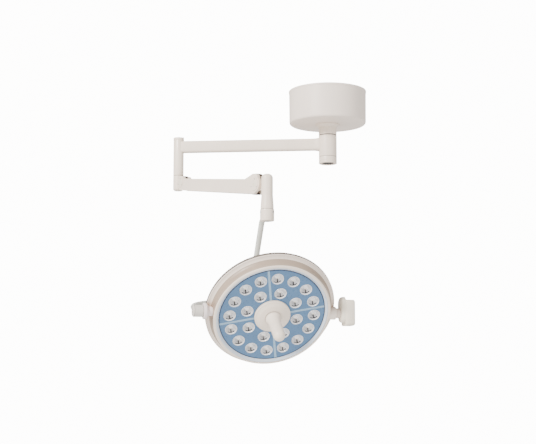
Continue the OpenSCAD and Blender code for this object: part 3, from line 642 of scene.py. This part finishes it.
def post_cap():
    """The cap on the post, dished in the middle, with two small ears."""
    low = post_top
    high = top_of("post_cap")
    rim = post_r + 0.00078
    cap = lathe(fillet([
        (0.0148, low - 0.008, 0), (0.0148, low, 0), (rim, low, 0.0006), (rim, high - 0.004, 0.001),
        (rim - 0.001, high - 0.003, 0.001), (rim - 0.0022, high - 0.002, 0.0008),
        (rim - 0.0065, high - 0.002, 0.001),
        (rim - 0.0075, high - 0.005, 0.001), (0, high - 0.005, 0)], 4), 96)
    ear = loft([[(x, y, z) for x, y in rounded_slab(0.005, 0.009, 0.0015, 4)] for z in (high - 0.006, high)])
    ears = [(*ear, POST @ place) for place in around(2, rim - 0.0032, math.radians(-5))]
    piece("post_cap_shell", [(*cap, POST)] + ears, PAINT, "extension", "white_plastic", ["post_cap"])


# ---- Spring arm ----

BEAM_SIDE = 0.027
BEAM_UNDER_REAR = 0.038
BEAM_UNDER_FRONT = 0.045
ADJUSTER_AT = 0.470


def arm_strip(start, stop, low, high):
    """A strip along the sprung arm, between two places on it and two heights."""
    outline = rounded_slab(stop - start, 0.0206, 0.0015, 4)
    middle = (start + stop) / 2
    return loft([[(middle + x, y, z) for x, y in outline] for z in (low, high)])


def slot_shade_strips():
    """Strips that close the slots over and under both tilt joints, black as painted shade for the dark slot
    gaps.
    """
    strips = [arm_strip(-0.0125, 0.0110, 0.0290, 0.0350),
              arm_strip(arm_span - 0.0235, arm_span + 0.0060, 0.0440, 0.0505),
              arm_strip(arm_span - 0.0300, arm_span + 0.0060, -0.0475, -0.0410)]
    piece("arm_slot_covers", [(*strip, SPRING) for strip in strips], RUBBER, "spring_arm", "dark_rubber")


def pivot_caps():
    """A stepped cap with a hexagon socket over each end of both tilt pins."""
    cap = lathe(fillet([(0, 0.0004, 0), (0.0038, 0.0004, 0), (0.0040, 0.0014, 0), (0.0095, 0.0014, 0.0006),
                        (0.0098, 0.0006, 0.0003), (0.0150, 0.0004, 0.0003), (0.0152, 0.0, 0)], 4), 48)
    caps = []
    for x in (0.0, arm_span):
        for way in (-1, 1):
            turn = Matrix.Rotation(-way * math.pi / 2, 4, "X")
            caps.append((*cap, SPRING @ Matrix.Translation((x, way * BEAM_SIDE, 0)) @ turn))
    piece("arm_pivot_caps", caps, POD_WHITE, "spring_arm", "white_plastic")
    screws = []
    head = screw_head(0.0022, 0.0010)
    for x, radius in ((0.0, 0.0185), (arm_span, 0.0235)):
        for way in (-1, 1):
            turn = Matrix.Rotation(-way * math.pi / 2, 4, "X")
            at = SPRING @ Matrix.Translation((x, way * BEAM_SIDE, 0)) @ turn
            screws += [(*head, at @ place) for place in around(3, radius, math.pi / 2)]
    piece("arm_cover_screws", screws, STEEL, "spring_arm", "steel")


def adjuster_plug():
    """The rubber plug in the spring adjuster's hole under the arm."""
    slope = (BEAM_UNDER_FRONT - BEAM_UNDER_REAR) / (arm_span - 0.004)
    low = -BEAM_UNDER_REAR - slope * (ADJUSTER_AT - 0.006)
    plug = lathe(fillet([(0, 0.0006, 0), (0.0030, 0.0006, 0.0004), (0.0034, 0.0012, 0.0003),
                         (0.0070, 0.0010, 0.0006),
                         (0.0072, 0, 0), (0.0056, 0, 0), (0.0056, -0.003, 0)], 3), 40)
    flip = Matrix.Translation((ADJUSTER_AT, 0, low)) @ Matrix.Rotation(math.pi, 4, "X")
    piece("arm_adjuster_plug", [(*plug, SPRING @ flip)], RUBBER, "spring_arm", "dark_rubber")


# ---- Yoke ----

yoke_collar_r = radius_of("yoke_collar")
YOKE_TUBE_R = 0.0135
YOKE_BEND_TOP = 0.045
YOKE_BEND_BACK = 0.060
YOKE_SLANT = math.radians(55.7)
YOKE_SLANT_Y = 0.105
YOKE_RISE = math.radians(11)
YOKE_SIDE = 0.314
YOKE_STUB_Z = 0.018


def bend(centre, start, stop, sweep_angle, steps):
    """Points of an arc from centre + start towards centre + stop, both of one length."""
    return [centre + start * math.cos(sweep_angle * step / steps) + stop * math.sin(sweep_angle * step / steps)
            for step in range(steps + 1)]


def yoke_points():
    """The yoke's centre line, y towards the back and z from the collar's underside."""
    drop = (YOKE.translation - HEAD.translation).z
    x, y, z = Vector((1, 0, 0)), Vector((0, 1, 0)), Vector((0, 0, 1))
    down = Vector((0, math.cos(YOKE_SLANT), -math.sin(YOKE_SLANT)))
    run = (drop - YOKE_SLANT_Y * math.tan(YOKE_RISE)) / (
        math.sin(YOKE_SLANT) + math.cos(YOKE_SLANT) * math.tan(YOKE_RISE))
    corner = Vector((0, YOKE_SLANT_Y, 0)) + down * run
    top_leg = YOKE_BEND_TOP * math.tan(YOKE_SLANT / 2)
    top_y = YOKE_SLANT_Y - YOKE_STUB_Z / math.tan(YOKE_SLANT)
    points = [Vector((0, yoke_collar_r * 0.6, YOKE_STUB_Z))]
    points += bend(Vector((0, top_y - top_leg, YOKE_STUB_Z - YOKE_BEND_TOP)), z * YOKE_BEND_TOP,
                   y * YOKE_BEND_TOP, YOKE_SLANT, 12)
    turn_at = corner - down * YOKE_BEND_BACK
    points += bend(turn_at - x * YOKE_BEND_BACK, x * YOKE_BEND_BACK, down * YOKE_BEND_BACK, math.pi / 2, 14)
    pivot = Vector((-YOKE_SIDE, 0, -drop))
    outward = (corner - Vector((0, 0, -drop)))
    reach = outward.length
    outward.normalize()
    side_r = YOKE_SIDE - YOKE_BEND_BACK
    points += bend(pivot + outward * (reach - side_r) + x * side_r, outward * side_r, -x * side_r,
                   math.pi / 2, 30)[1:]
    points.append(pivot + outward * 0.020)
    return points


def yoke_tube():
    """The bent tube, with a sleeve at its collar and another at its foot."""
    points = yoke_points()
    sleeve_path = [Vector((0, y, YOKE_STUB_Z)) for y in (yoke_collar_r * 0.8, yoke_collar_r + 0.007)]
    end_along = (points[-1] - points[-2]).normalized()
    foot = [points[-1] - end_along * 0.004, points[-1] - end_along * 0.018]
    parts = [(*sweep(points, YOKE_TUBE_R), YOKE), (*sweep(foot, YOKE_TUBE_R + 0.0022), YOKE)]
    parts.append((*sweep(sleeve_path, YOKE_TUBE_R + 0.002), YOKE))
    piece("yoke_bent_tube", parts, YOKE_PAINT, "yoke", "grey_paint", ["yoke_tube"])


def yoke_collar():
    """The collar that turns on the front knuckle, with two grub screws."""
    low, high = bottom_of("yoke_collar"), top_of("yoke_collar")
    rim = yoke_collar_r
    outline = [
        (0.0112, high, 0), (rim - 0.0006, high, 0.001), (rim, high - 0.006, 0.002), (rim, low + 0.012, 0),
        (rim - 0.0006, low + 0.0115, 0), (rim, low + 0.011, 0), (rim, low, 0.004), (0.0112, low, 0),
    ]
    place = Matrix.Translation(knuckle_at)
    shell = lathe(fillet(outline), 96)
    piece("yoke_collar_shell", [(*shell, place)], PAINT, "yoke", "white_paint", ["yoke_collar"])
    grub = screw_head(0.0045, 0.0012)
    grubs = []
    for angle in (-150, -30):
        turn = Matrix.Rotation(math.radians(angle), 4, "Z")
        turn = turn @ Matrix.Translation((rim - 0.0004, 0, high - 0.015))
        grubs.append((*grub, place @ turn @ Matrix.Rotation(math.pi / 2, 4, "Y")))
    piece("yoke_collar_screws", grubs, STEEL, "yoke", "steel")


# ---- Side pivot ----

def along_axis(outline, steps=96):
    """An outline (radius, distance along the tilt axis) turned about that axis."""
    return (*lathe(outline, steps), TILT_AXIS)


PIVOT_R = 0.027
PIVOT_COLLAR_R = 0.0365
PIVOT_BORE = 0.0124


def side_pivot():
    """The housing at the yoke's lower end, closed by a bevelled cap."""
    outer = [
        (0, -0.359, 0), (PIVOT_R - 0.004, -0.359, 0), (PIVOT_R, -0.355, 0.0015), (PIVOT_R, -0.3136, 0.001),
        (PIVOT_R - 0.0012, -0.3125, 0), (PIVOT_BORE, -0.3125, 0),
    ]
    groove = [(PIVOT_R - 0.0001, -0.3536, 0), (PIVOT_R + 0.0001, -0.3533, 0), (PIVOT_R + 0.0001, -0.3520, 0),
              (PIVOT_R - 0.0001, -0.3517, 0)]
    piece("side_pivot_shell", [along_axis(fillet(outer))], PIVOT_GREY, "yoke", "grey_paint",
          ["side_pivot_housing", "side_pivot_cap"])
    piece("side_pivot_ring", [along_axis(fillet(groove))], SEAM, "yoke", "dark_rubber")


def pivot_collar():
    """The tapered collar where the side pivot meets the head."""
    outer = [(PIVOT_BORE, -0.3115, 0), (PIVOT_COLLAR_R, -0.3115, 0.0025), (PIVOT_COLLAR_R, -0.2995, 0.004),
             (0.022, -0.2855, 0.004), (0.022, -0.270, 0), (PIVOT_BORE, -0.270, 0)]
    piece("pivot_collar_shell", [along_axis(fillet(outer))], PIVOT_PINK, "head", "head_paint", ["pivot_collar"])


# ---- Head ----

FLANGE_R = 0.297
FLANGE_FRONT = -0.014
FLANGE_BACK = -0.024
BEZEL_R = 0.270
BEZEL_FRONT = 0.033
FACE_R = 0.2425
FACE_FRONT = 0.025
FACE_BACK = 0.021
HUB_R = 0.082
BACK_Z = -0.072


def front_bezel():
    """Flange, concave cove and rounded front ring, with the step that holds the face."""
    outline = [(FLANGE_R - 0.012, FLANGE_BACK), (FLANGE_R - 0.001, FLANGE_BACK),
               (FLANGE_R, FLANGE_BACK + 0.001)]
    outline += arc(FLANGE_R - 0.0035, FLANGE_FRONT - 0.0035, 0.0035, 0, 90, 6)
    outline += arc(FLANGE_R + 0.0005, FLANGE_FRONT + 0.0262, 0.0262, 262, 226, 8)
    cove = arc(FLANGE_R + 0.0005, FLANGE_FRONT + 0.0262, 0.0262, 226, 182, 10)
    cove += arc(BEZEL_R - 0.009, BEZEL_FRONT - 0.009, 0.009, 0, 36, 4)
    nose = arc(BEZEL_R - 0.009, BEZEL_FRONT - 0.009, 0.009, 36, 90, 6) + [(0.2562, BEZEL_FRONT)]
    parts = [(*lathe(outline, 192), HEAD), (*lathe(nose, 192), HEAD)]
    piece("head_bezel", parts, HEAD_PAINT, "head", "head_paint", ["front_bezel"])
    # The cove band carries the painted shade colour.
    piece("head_bezel_cove", [(*lathe(cove, 192), HEAD)], COVE_SHADE, "head", "head_paint")
    bead = [(FLANGE_R - 0.0004, -0.0172), (FLANGE_R + 0.0002, -0.0178), (FLANGE_R + 0.0002, -0.0328),
            (FLANGE_R - 0.0010, -0.0336)]
    bead += arc(0.248, -0.030, 0.0423, -6, -15, 4) + arc(0.248, -0.030, 0.0415, -16, -17, 1)
    piece("head_back_bead", [(*lathe(bead, 192), HEAD)], BEAD, "head", "dark_rubber")
    ring = [(0.2563, BEZEL_FRONT - 0.0006), (0.2555, BEZEL_FRONT - 0.0006)]
    ring += arc(0.2535, BEZEL_FRONT - 0.0012, 0.0012, 90, 100, 2)
    ring += fillet([(0.2520, BEZEL_FRONT, 0), (FACE_R + 0.003, FACE_FRONT + 0.0012, 0.002),
                    (FACE_R + 0.0004, FACE_FRONT - 0.001, 0.0008), (FACE_R + 0.0004, FACE_FRONT - 0.006, 0)], 4)
    piece("head_bezel_ring", [(*lathe(ring, 192), HEAD)], BEZEL_RING, "head", "head_paint")
    seal = [(FACE_R + 0.0006, FACE_FRONT - 0.004), (FACE_R + 0.0006, FACE_FRONT - 0.0006),
            (FACE_R - 0.0008, FACE_FRONT + 0.0005), (FACE_R - 0.0034, FACE_FRONT + 0.0005),
            (FACE_R - 0.0038, FACE_FRONT + 0.0001)]
    piece("face_seal_ring", [(*lathe(seal, 192), HEAD)], OUTLINE, "head", "dark_rubber")


def back_shell():
    """The rounded back, with a raised service cover, cooling ribs and screws."""
    outline = [(FLANGE_R - 0.012, -0.026), (FLANGE_R - 0.0005, -0.026), (FLANGE_R - 0.0005, -0.0325)]
    outline += arc(0.248, -0.030, 0.042, -4, -90, 16)
    outline += fillet([(0.170, BACK_Z, 0), (0.166, BACK_Z, 0), (0.165, BACK_Z + 0.0015, 0), (0.164, BACK_Z, 0),
                       (0, BACK_Z, 0)], 2)
    piece("head_back", [(*lathe(outline, 192), HEAD)], HEAD_PAINT, "head", "head_paint", ["back_shell"])
    behind = HEAD @ Matrix.Translation((0, 0, BACK_Z)) @ Matrix.Rotation(math.pi, 4, "X")
    cover = lathe(fillet([(0.0, 0.0016, 0), (0.058, 0.0016, 0), (0.060, 0.0034, 0.001), (0.112, 0.0034, 0.0012),
                          (0.1145, 0.0, 0.0004), (0.1145, -0.001, 0)], 5), 128)
    piece("head_service_cover", [(*cover, behind)], HEAD_PAINT, "head", "head_paint")
    levels = ((0.040, 0.0052, -0.001), (0.040, 0.0052, 0.0012), (0.038, 0.0034, 0.0022))
    louvre = loft([[(x, y, z) for x, y in rounded_slab(length, width, 0.0014, 4)]
                   for length, width, z in levels])
    slit = loft([[(x, y + 0.0038, z) for x, y in rounded_slab(0.040, 0.0024, 0.0011, 4)]
                 for z in (-0.001, 0.0004)])
    places = [behind @ place for place in around(28, 0.143)]
    piece("head_louvres", [(*louvre, place) for place in places], HEAD_PAINT, "head", "head_paint")
    piece("head_louvre_slits", [(*slit, place) for place in places], RUBBER, "head", "dark_rubber")
    head = screw_head(0.0042, 0.0016)
    screws = [(*head, behind @ Matrix.Translation((0, 0, 0.0034)) @ place) for place in around(6, 0.100, 0.2)]
    screws += [(*head, behind @ Matrix.Translation((0, 0, -0.0002)) @ place) for place in around(8, 0.215, 0.1)]
    piece("head_back_screws", screws, STEEL, "head", "steel")


def middle_of(points):
    """The average of some points."""
    return sum((Vector(point) for point in points), Vector((0, 0))) / len(points)


def flat_panel(loops, low, high):
    """A plate between two heights from closed loops, the first its edge and the rest its holes."""
    points, edges = [], []
    for loop in loops:
        start = len(points)
        points += [Vector(point) for point in loop]
        edges += [(start + index, start + (index + 1) % len(loop)) for index in range(len(loop))]
    flat, _, filled, *_ = delaunay_2d_cdt(points, edges, [], 2, 1e-7)
    holes = [(middle_of(loop), (Vector(loop[0]) - middle_of(loop)).length) for loop in loops[1:]]
    triangles = []
    for triangle in filled:
        middle = middle_of([flat[index] for index in triangle])
        if all((middle - centre).length > radius for centre, radius in holes):
            triangles.append(triangle)
    count = len(flat)
    verts = [(point.x, point.y, high) for point in flat] + [(point.x, point.y, low) for point in flat]
    faces = [list(triangle) for triangle in triangles]
    faces += [[count + index for index in reversed(triangle)] for triangle in triangles]
    rim = dict.fromkeys(pair for triangle in triangles for pair in zip(triangle, triangle[1:] + triangle[:1]))
    for first, second in rim:
        if (second, first) not in rim:
            faces.append([second, first, count + first, count + second])
    return verts, faces


PATTERN_TURN = math.radians(13)
CUP_R = 0.0275
CRADLE_R = 0.0216
CRADLE_Z = 0.0182
# Turns each cup's dark fin and cradle the same way, so the painted reflections and shade all point down.
CUP_DOWN = math.radians(-78)
OUTER_RING = (16, 0.194)
INNER_RING = (8, 0.119)
CROSS_W = 0.010


def lamp_places():
    """Where the lens cups sit on the face, in two rings."""
    places = []
    for count, radius in (OUTER_RING, INNER_RING):
        places += around(count, radius, PATTERN_TURN + math.pi / count)
    return places


def lamp_centres():
    """The lens cups' places in the row frame, all turned the same way."""
    return [HEAD @ Matrix.Translation(place.translation) for place in lamp_places()]


def face_panels():
    """Four blue quarter panels with a hole for each lens cup."""
    centres = [place.translation.to_2d() for place in lamp_places()]
    gap = CROSS_W / 2
    for quarter in range(4):
        turn = PATTERN_TURN + quarter * math.pi / 2
        rotate = Matrix.Rotation(turn, 2)
        outer_angle = math.degrees(math.asin(gap / (FACE_R - 0.0016)))
        inner_r = HUB_R - 0.003
        inner_angle = math.degrees(math.asin(gap / inner_r))
        edge = arc(0, 0, FACE_R - 0.0016, outer_angle, 90 - outer_angle, 40)
        edge += arc(0, 0, inner_r, 90 - inner_angle, inner_angle, 24)
        edge = [tuple(rotate @ Vector(point)) for point in edge]
        holes = []
        for centre in centres:
            angle = (math.degrees(math.atan2(centre.y, centre.x)) - math.degrees(turn)) % 360
            if angle < 90:
                holes.append(arc(centre.x, centre.y, CUP_R + 0.0006, 0, 352.5, 47)[::-1])
        replaced = ["face_panels"] if quarter == 0 else []
        plate = flat_panel([edge] + holes, FACE_BACK, FACE_FRONT)
        piece(f"face_panel_{quarter + 1}", [(*plate, HEAD)], BLUE, "head", "panel_blue", replaced, bevel=0.0004)


def panel_cross():
    """The grooved strips between the panels."""
    bars = []
    start, stop = HUB_R - 0.002, FACE_R - 0.0016
    outline = fillet([(-CROSS_W / 2, FACE_BACK, 0), (-CROSS_W / 2, FACE_FRONT + 0.0002, 0.0004),
                      (-0.0022, FACE_FRONT + 0.0008, 0.0004), (-0.0016, FACE_FRONT - 0.0002, 0.0002),
                      (0.0016, FACE_FRONT - 0.0002, 0.0002), (0.0022, FACE_FRONT + 0.0008, 0.0004),
                      (CROSS_W / 2, FACE_FRONT + 0.0002, 0.0004), (CROSS_W / 2, FACE_BACK, 0)], 3)
    bar = loft([[(x, y, z) for y, z in outline] for x in (start, stop)])
    for quarter in range(4):
        turn = Matrix.Rotation(PATTERN_TURN + quarter * math.pi / 2, 4, "Z")
        bars.append((*bar, HEAD @ turn))
    piece("face_cross_strips", bars, CROSS, "head", "cross_blue", ["panel_cross"])


def fluted_cup():
    """A mirror bowl with shallow petals and a rolled lip."""
    steps, petals = 96, 12
    lip = arc(CUP_R - 0.0006, FACE_FRONT + 0.0001, 0.0007, 0, 180, 6)
    outline = [(CUP_R + 0.0001, FACE_BACK)] + lip
    bowl = []
    for step in range(15):
        part = step / 14
        height = FACE_FRONT - 0.0006 - 0.0205 * part
        radius = (CUP_R - 0.0016) * (1 - part) ** 0.62 + 0.0070 * part
        bowl.append((radius, height))
    verts, faces = lathe(outline + bowl, steps)
    shaped = []
    for x, y, z in verts:
        radius = math.hypot(x, y)
        depth = min(1.0, max(0.0, (FACE_FRONT - 0.001 - z) / 0.006))
        if radius > 0:
            ripple = 1 + 0.022 * depth * abs(math.sin(petals * math.atan2(y, x) / 2))
            x, y = x * ripple, y * ripple
        shaped.append((x, y, z))
    return shaped, faces


def lens_cups():
    """Mirror cups, each with a core and a chip, and in its lower half a dark fin and cradle, all turned the
    same way, that stand in for the dark reflections and shade low in each cup.
    """
    cup = fluted_cup()
    barrel = lathe(fillet([(0.0078, 0.0036, 0), (0.0078, 0.0070, 0.0008), (0.0052, 0.0082, 0.0008),
                           (0.0046, 0.0148, 0.0008), (0.0030, 0.0156, 0.0004), (0.0030, 0.0146, 0)], 3), 32)
    dome = lathe(arc(0, 0.0142, 0.0030, 0, 90, 6), 24)
    rib = loft([[(x, y, z) for y, z in ((-0.0024, 0.0045), (0.0024, 0.0045), (0.0018, top), (-0.0018, top))]
                for x, top in ((0.004, 0.0155), (0.013, 0.0150), (0.0225, 0.0205))])
    cradle = sweep([(x, y, CRADLE_Z) for x, y in arc(0, 0, CRADLE_R, -46, 44, 15)], 0.0020, 8)
    cups, cup_shade_marks, chips = [], [], []
    for place in lamp_centres():
        cups.append((*cup, place))
        cups.append((*barrel, place))
        chips.append((*dome, place))
        # Painted reflection and shade: a dark fin and cradle in the cup's lower half.
        lower = place @ Matrix.Rotation(CUP_DOWN, 4, "Z")
        cup_shade_marks += [(*rib, lower), (*cradle, lower)]
    piece("lens_cup_mirrors", cups, CHROME, "head", "cup_chrome", ["lens_cups"], crease=50)
    piece("lens_cup_cores", cup_shade_marks, CUP_PAINTED_SHADE, "head", "dark_rubber")
    piece("lens_cup_chips", chips, CHIP, "head", "cup_chrome")


def centre_hub():
    """The domed cover round the handle's foot."""
    outline = fillet([
        (HUB_R - 0.004, FACE_FRONT - 0.002, 0), (HUB_R - 0.0005, FACE_FRONT - 0.002, 0),
        (HUB_R, 0.0345, 0.002), (HUB_R - 0.003, 0.0380, 0.002), (HUB_R - 0.0065, 0.0376, 0.0015),
        (0.060, 0.0448, 0.012), (0.0395, 0.0488, 0.006), (0.0365, 0.0488, 0.001), (0.0360, 0.0470, 0.0005),
        (0.028, 0.0470, 0)], 6)
    piece("centre_hub_cover", [(*lathe(outline, 128), HEAD)], CREAM, "head", "white_plastic", ["centre_hub"])


def sterile_handle():
    """The handle's grip, with a flange at its foot and a ring groove."""
    tip = 0.204
    outline = fillet([
        (0.0142, 0.051, 0), (0.0355, 0.051, 0.0008), (0.0358, 0.0545, 0.0015), (0.0325, 0.0580, 0.003),
        (0.0290, 0.0700, 0.006), (0.0268, 0.096, 0.02)], 6)
    outline += [(0.0268, 0.102), (0.0264, 0.1032), (0.0268, 0.1044), (0.0270, 0.120), (0.0270, 0.160),
                (0.0262, 0.1775)]
    outline += arc(0, tip - 0.0262, 0.0262, 2, 90, 16)
    piece("sterile_handle_grip", [(*lathe(outline, 96), HEAD)], CREAM, "handle", "cream_plastic",
          ["sterile_handle"])


# ---- Control pod ----

POD_RISE = 0.002
POD_BACK_RISE = 0.016
KEY_FACE = 0.3860
KEY_R = 0.0072


def pod_sections(levels):
    """Rings across the tilt axis: (distance along it, length up, width, corner radius, rise)."""
    rings = []
    for along, length, width, radius, rise in levels:
        outline = rounded_slab(width, length, radius, 8)
        rings.append([(along, up + rise, across) for across, up in outline])
    return rings


def pod_neck():
    """The stepped neck between the head and the pod."""
    outer = fillet([(0.020, 0.262, 0), (0.030, 0.262, 0), (0.030, 0.3005, 0.002), (0.0278, 0.3020, 0.001),
                    (0.0230, 0.3045, 0.001), (0.0230, 0.3208, 0.001), (0.0265, 0.3230, 0),
                    (0.010, 0.3230, 0)], 5)
    piece("pod_neck_shell", [along_axis(outer)], HEAD_PAINT, "head", "head_paint", ["pod_neck"])


def pod_shell():
    """The pod: a rounded back block that widens into a slab with a joint line."""
    levels = [
        (0.3222, 0.082, 0.046, 0.021, POD_BACK_RISE), (0.3240, 0.099, 0.058, 0.024, POD_BACK_RISE),
        (0.3270, 0.110, 0.066, 0.024, POD_BACK_RISE), (0.3315, 0.1165, 0.0705, 0.024, POD_BACK_RISE),
        (0.3420, 0.118, 0.072, 0.023, POD_BACK_RISE), (0.3438, 0.1145, 0.0745, 0.018, 0.010),
        (0.3450, 0.117, 0.0825, 0.0145, POD_RISE), (0.3465, 0.118, 0.084, 0.014, POD_RISE),
        (0.3630, 0.118, 0.084, 0.014, POD_RISE), (0.3633, 0.1172, 0.0832, 0.0138, POD_RISE),
        (0.3640, 0.1172, 0.0832, 0.0138, POD_RISE), (0.3643, 0.118, 0.084, 0.014, POD_RISE),
        (0.3805, 0.118, 0.084, 0.014, POD_RISE), (0.3818, 0.1168, 0.0828, 0.0136, POD_RISE),
        (0.3820, 0.112, 0.078, 0.012, POD_RISE),
    ]
    piece("pod_case", [(*loft(pod_sections(levels)), POD)], POD_WHITE, "head", "white_plastic",
          ["pod_shell"], crease=50)


def pod_front():
    """The keypad film, set into the slab's front."""
    levels = [(0.3821, 0.1135, 0.0795, 0.0125, POD_RISE), (0.3838, 0.1135, 0.0795, 0.0125, POD_RISE),
              (0.3850, 0.1115, 0.0775, 0.0115, POD_RISE), (0.3852, 0.1085, 0.0745, 0.010, POD_RISE),
              (0.3844, 0.1075, 0.0735, 0.0095, POD_RISE)]
    piece("pod_keypad", [(*loft(pod_sections(levels)), POD)], KEYPAD, "head", "keypad_grey", ["pod_face"])


def key(name, body, node, sign):
    """A domed key with a raised plus, minus or bar."""
    low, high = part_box(node)
    centre = (low + high) / 2
    back = (centre - POD.translation).dot(side)
    place = POD.copy()
    place.translation = centre + side * (KEY_FACE - back)
    turn = place @ Matrix.Rotation(math.pi / 2, 4, "Y")
    dome = lathe(fillet([(0, 0.0018, 0), (0.0060, 0.0015, 0.003), (KEY_R, 0.0004, 0.0006),
                         (KEY_R, -0.006, 0)], 5), 48)
    bar = loft([[(x, y, z) for x, y in rounded_slab(0.0012, 0.0070, 0.0005, 3)] for z in (0.0010, 0.0020)])
    parts = [(*dome, turn)]
    if sign in ("plus", "minus"):
        parts.append((*bar, turn))
    if sign in ("plus", "power"):
        parts.append((*bar, turn @ Matrix.Rotation(math.pi / 2, 4, "Z")))
    piece(name, parts, KEY, body, "key_grey", [node])


def control_pod():
    """The pod with its three keys."""
    pod_neck()
    pod_shell()
    pod_front()
    key("power_key_cap", "power_key", "button_power", "power")
    key("brighter_key_cap", "brighter_key", "button_brighter", "plus")
    key("dimmer_key_cap", "dimmer_key", "button_dimmer", "minus")


# ---- Everything ----

add_camera()
add_world(colour=(1.0, 0.985, 0.965), strength=1.05)
add_area("key_light", at=(-3.4, -5.0, 2.2), aim=(-0.3, -0.3, -0.7), size=1.2, power=760,
         colour=(1.0, 0.97, 0.93))
add_area("fill_light", at=(3.5, -4.5, 0.0), aim=(-0.2, -0.3, -0.7), size=3.0, power=50)
finish_cad()
canopy()
canopy_collar()
drop_tube()
hub_cap()
extension_arm()
post_cap()
slot_shade_strips()
pivot_caps()
adjuster_plug()
yoke_tube()
yoke_collar()
side_pivot()
pivot_collar()
front_bezel()
back_shell()
face_panels()
panel_cross()
lens_cups()
centre_hub()
sterile_handle()
control_pod()

for node in SOFTENED_NODES:
    soften(frame["nodes"][node], NODE_EDGE_R)


def floor():
    """A plain pale floor below the light."""
    half = FLOOR_HALF
    low = cad_size[0].z - FLOOR_DROP
    mesh = bpy.data.meshes.new("floor")
    mesh.from_pydata([(-half, -half, low), (half, -half, low), (half, half, low), (-half, half, low)], [],
                     [[0, 1, 2, 3]])
    mesh.materials.append(surface("floor_paint", linear(250, 250, 250), 0.9, wear=0.0, painted_shade=0.0, mottle=0.0))
    ground = bpy.data.objects.new("floor", mesh)
    bpy.context.scene.collection.objects.link(ground)


floor()
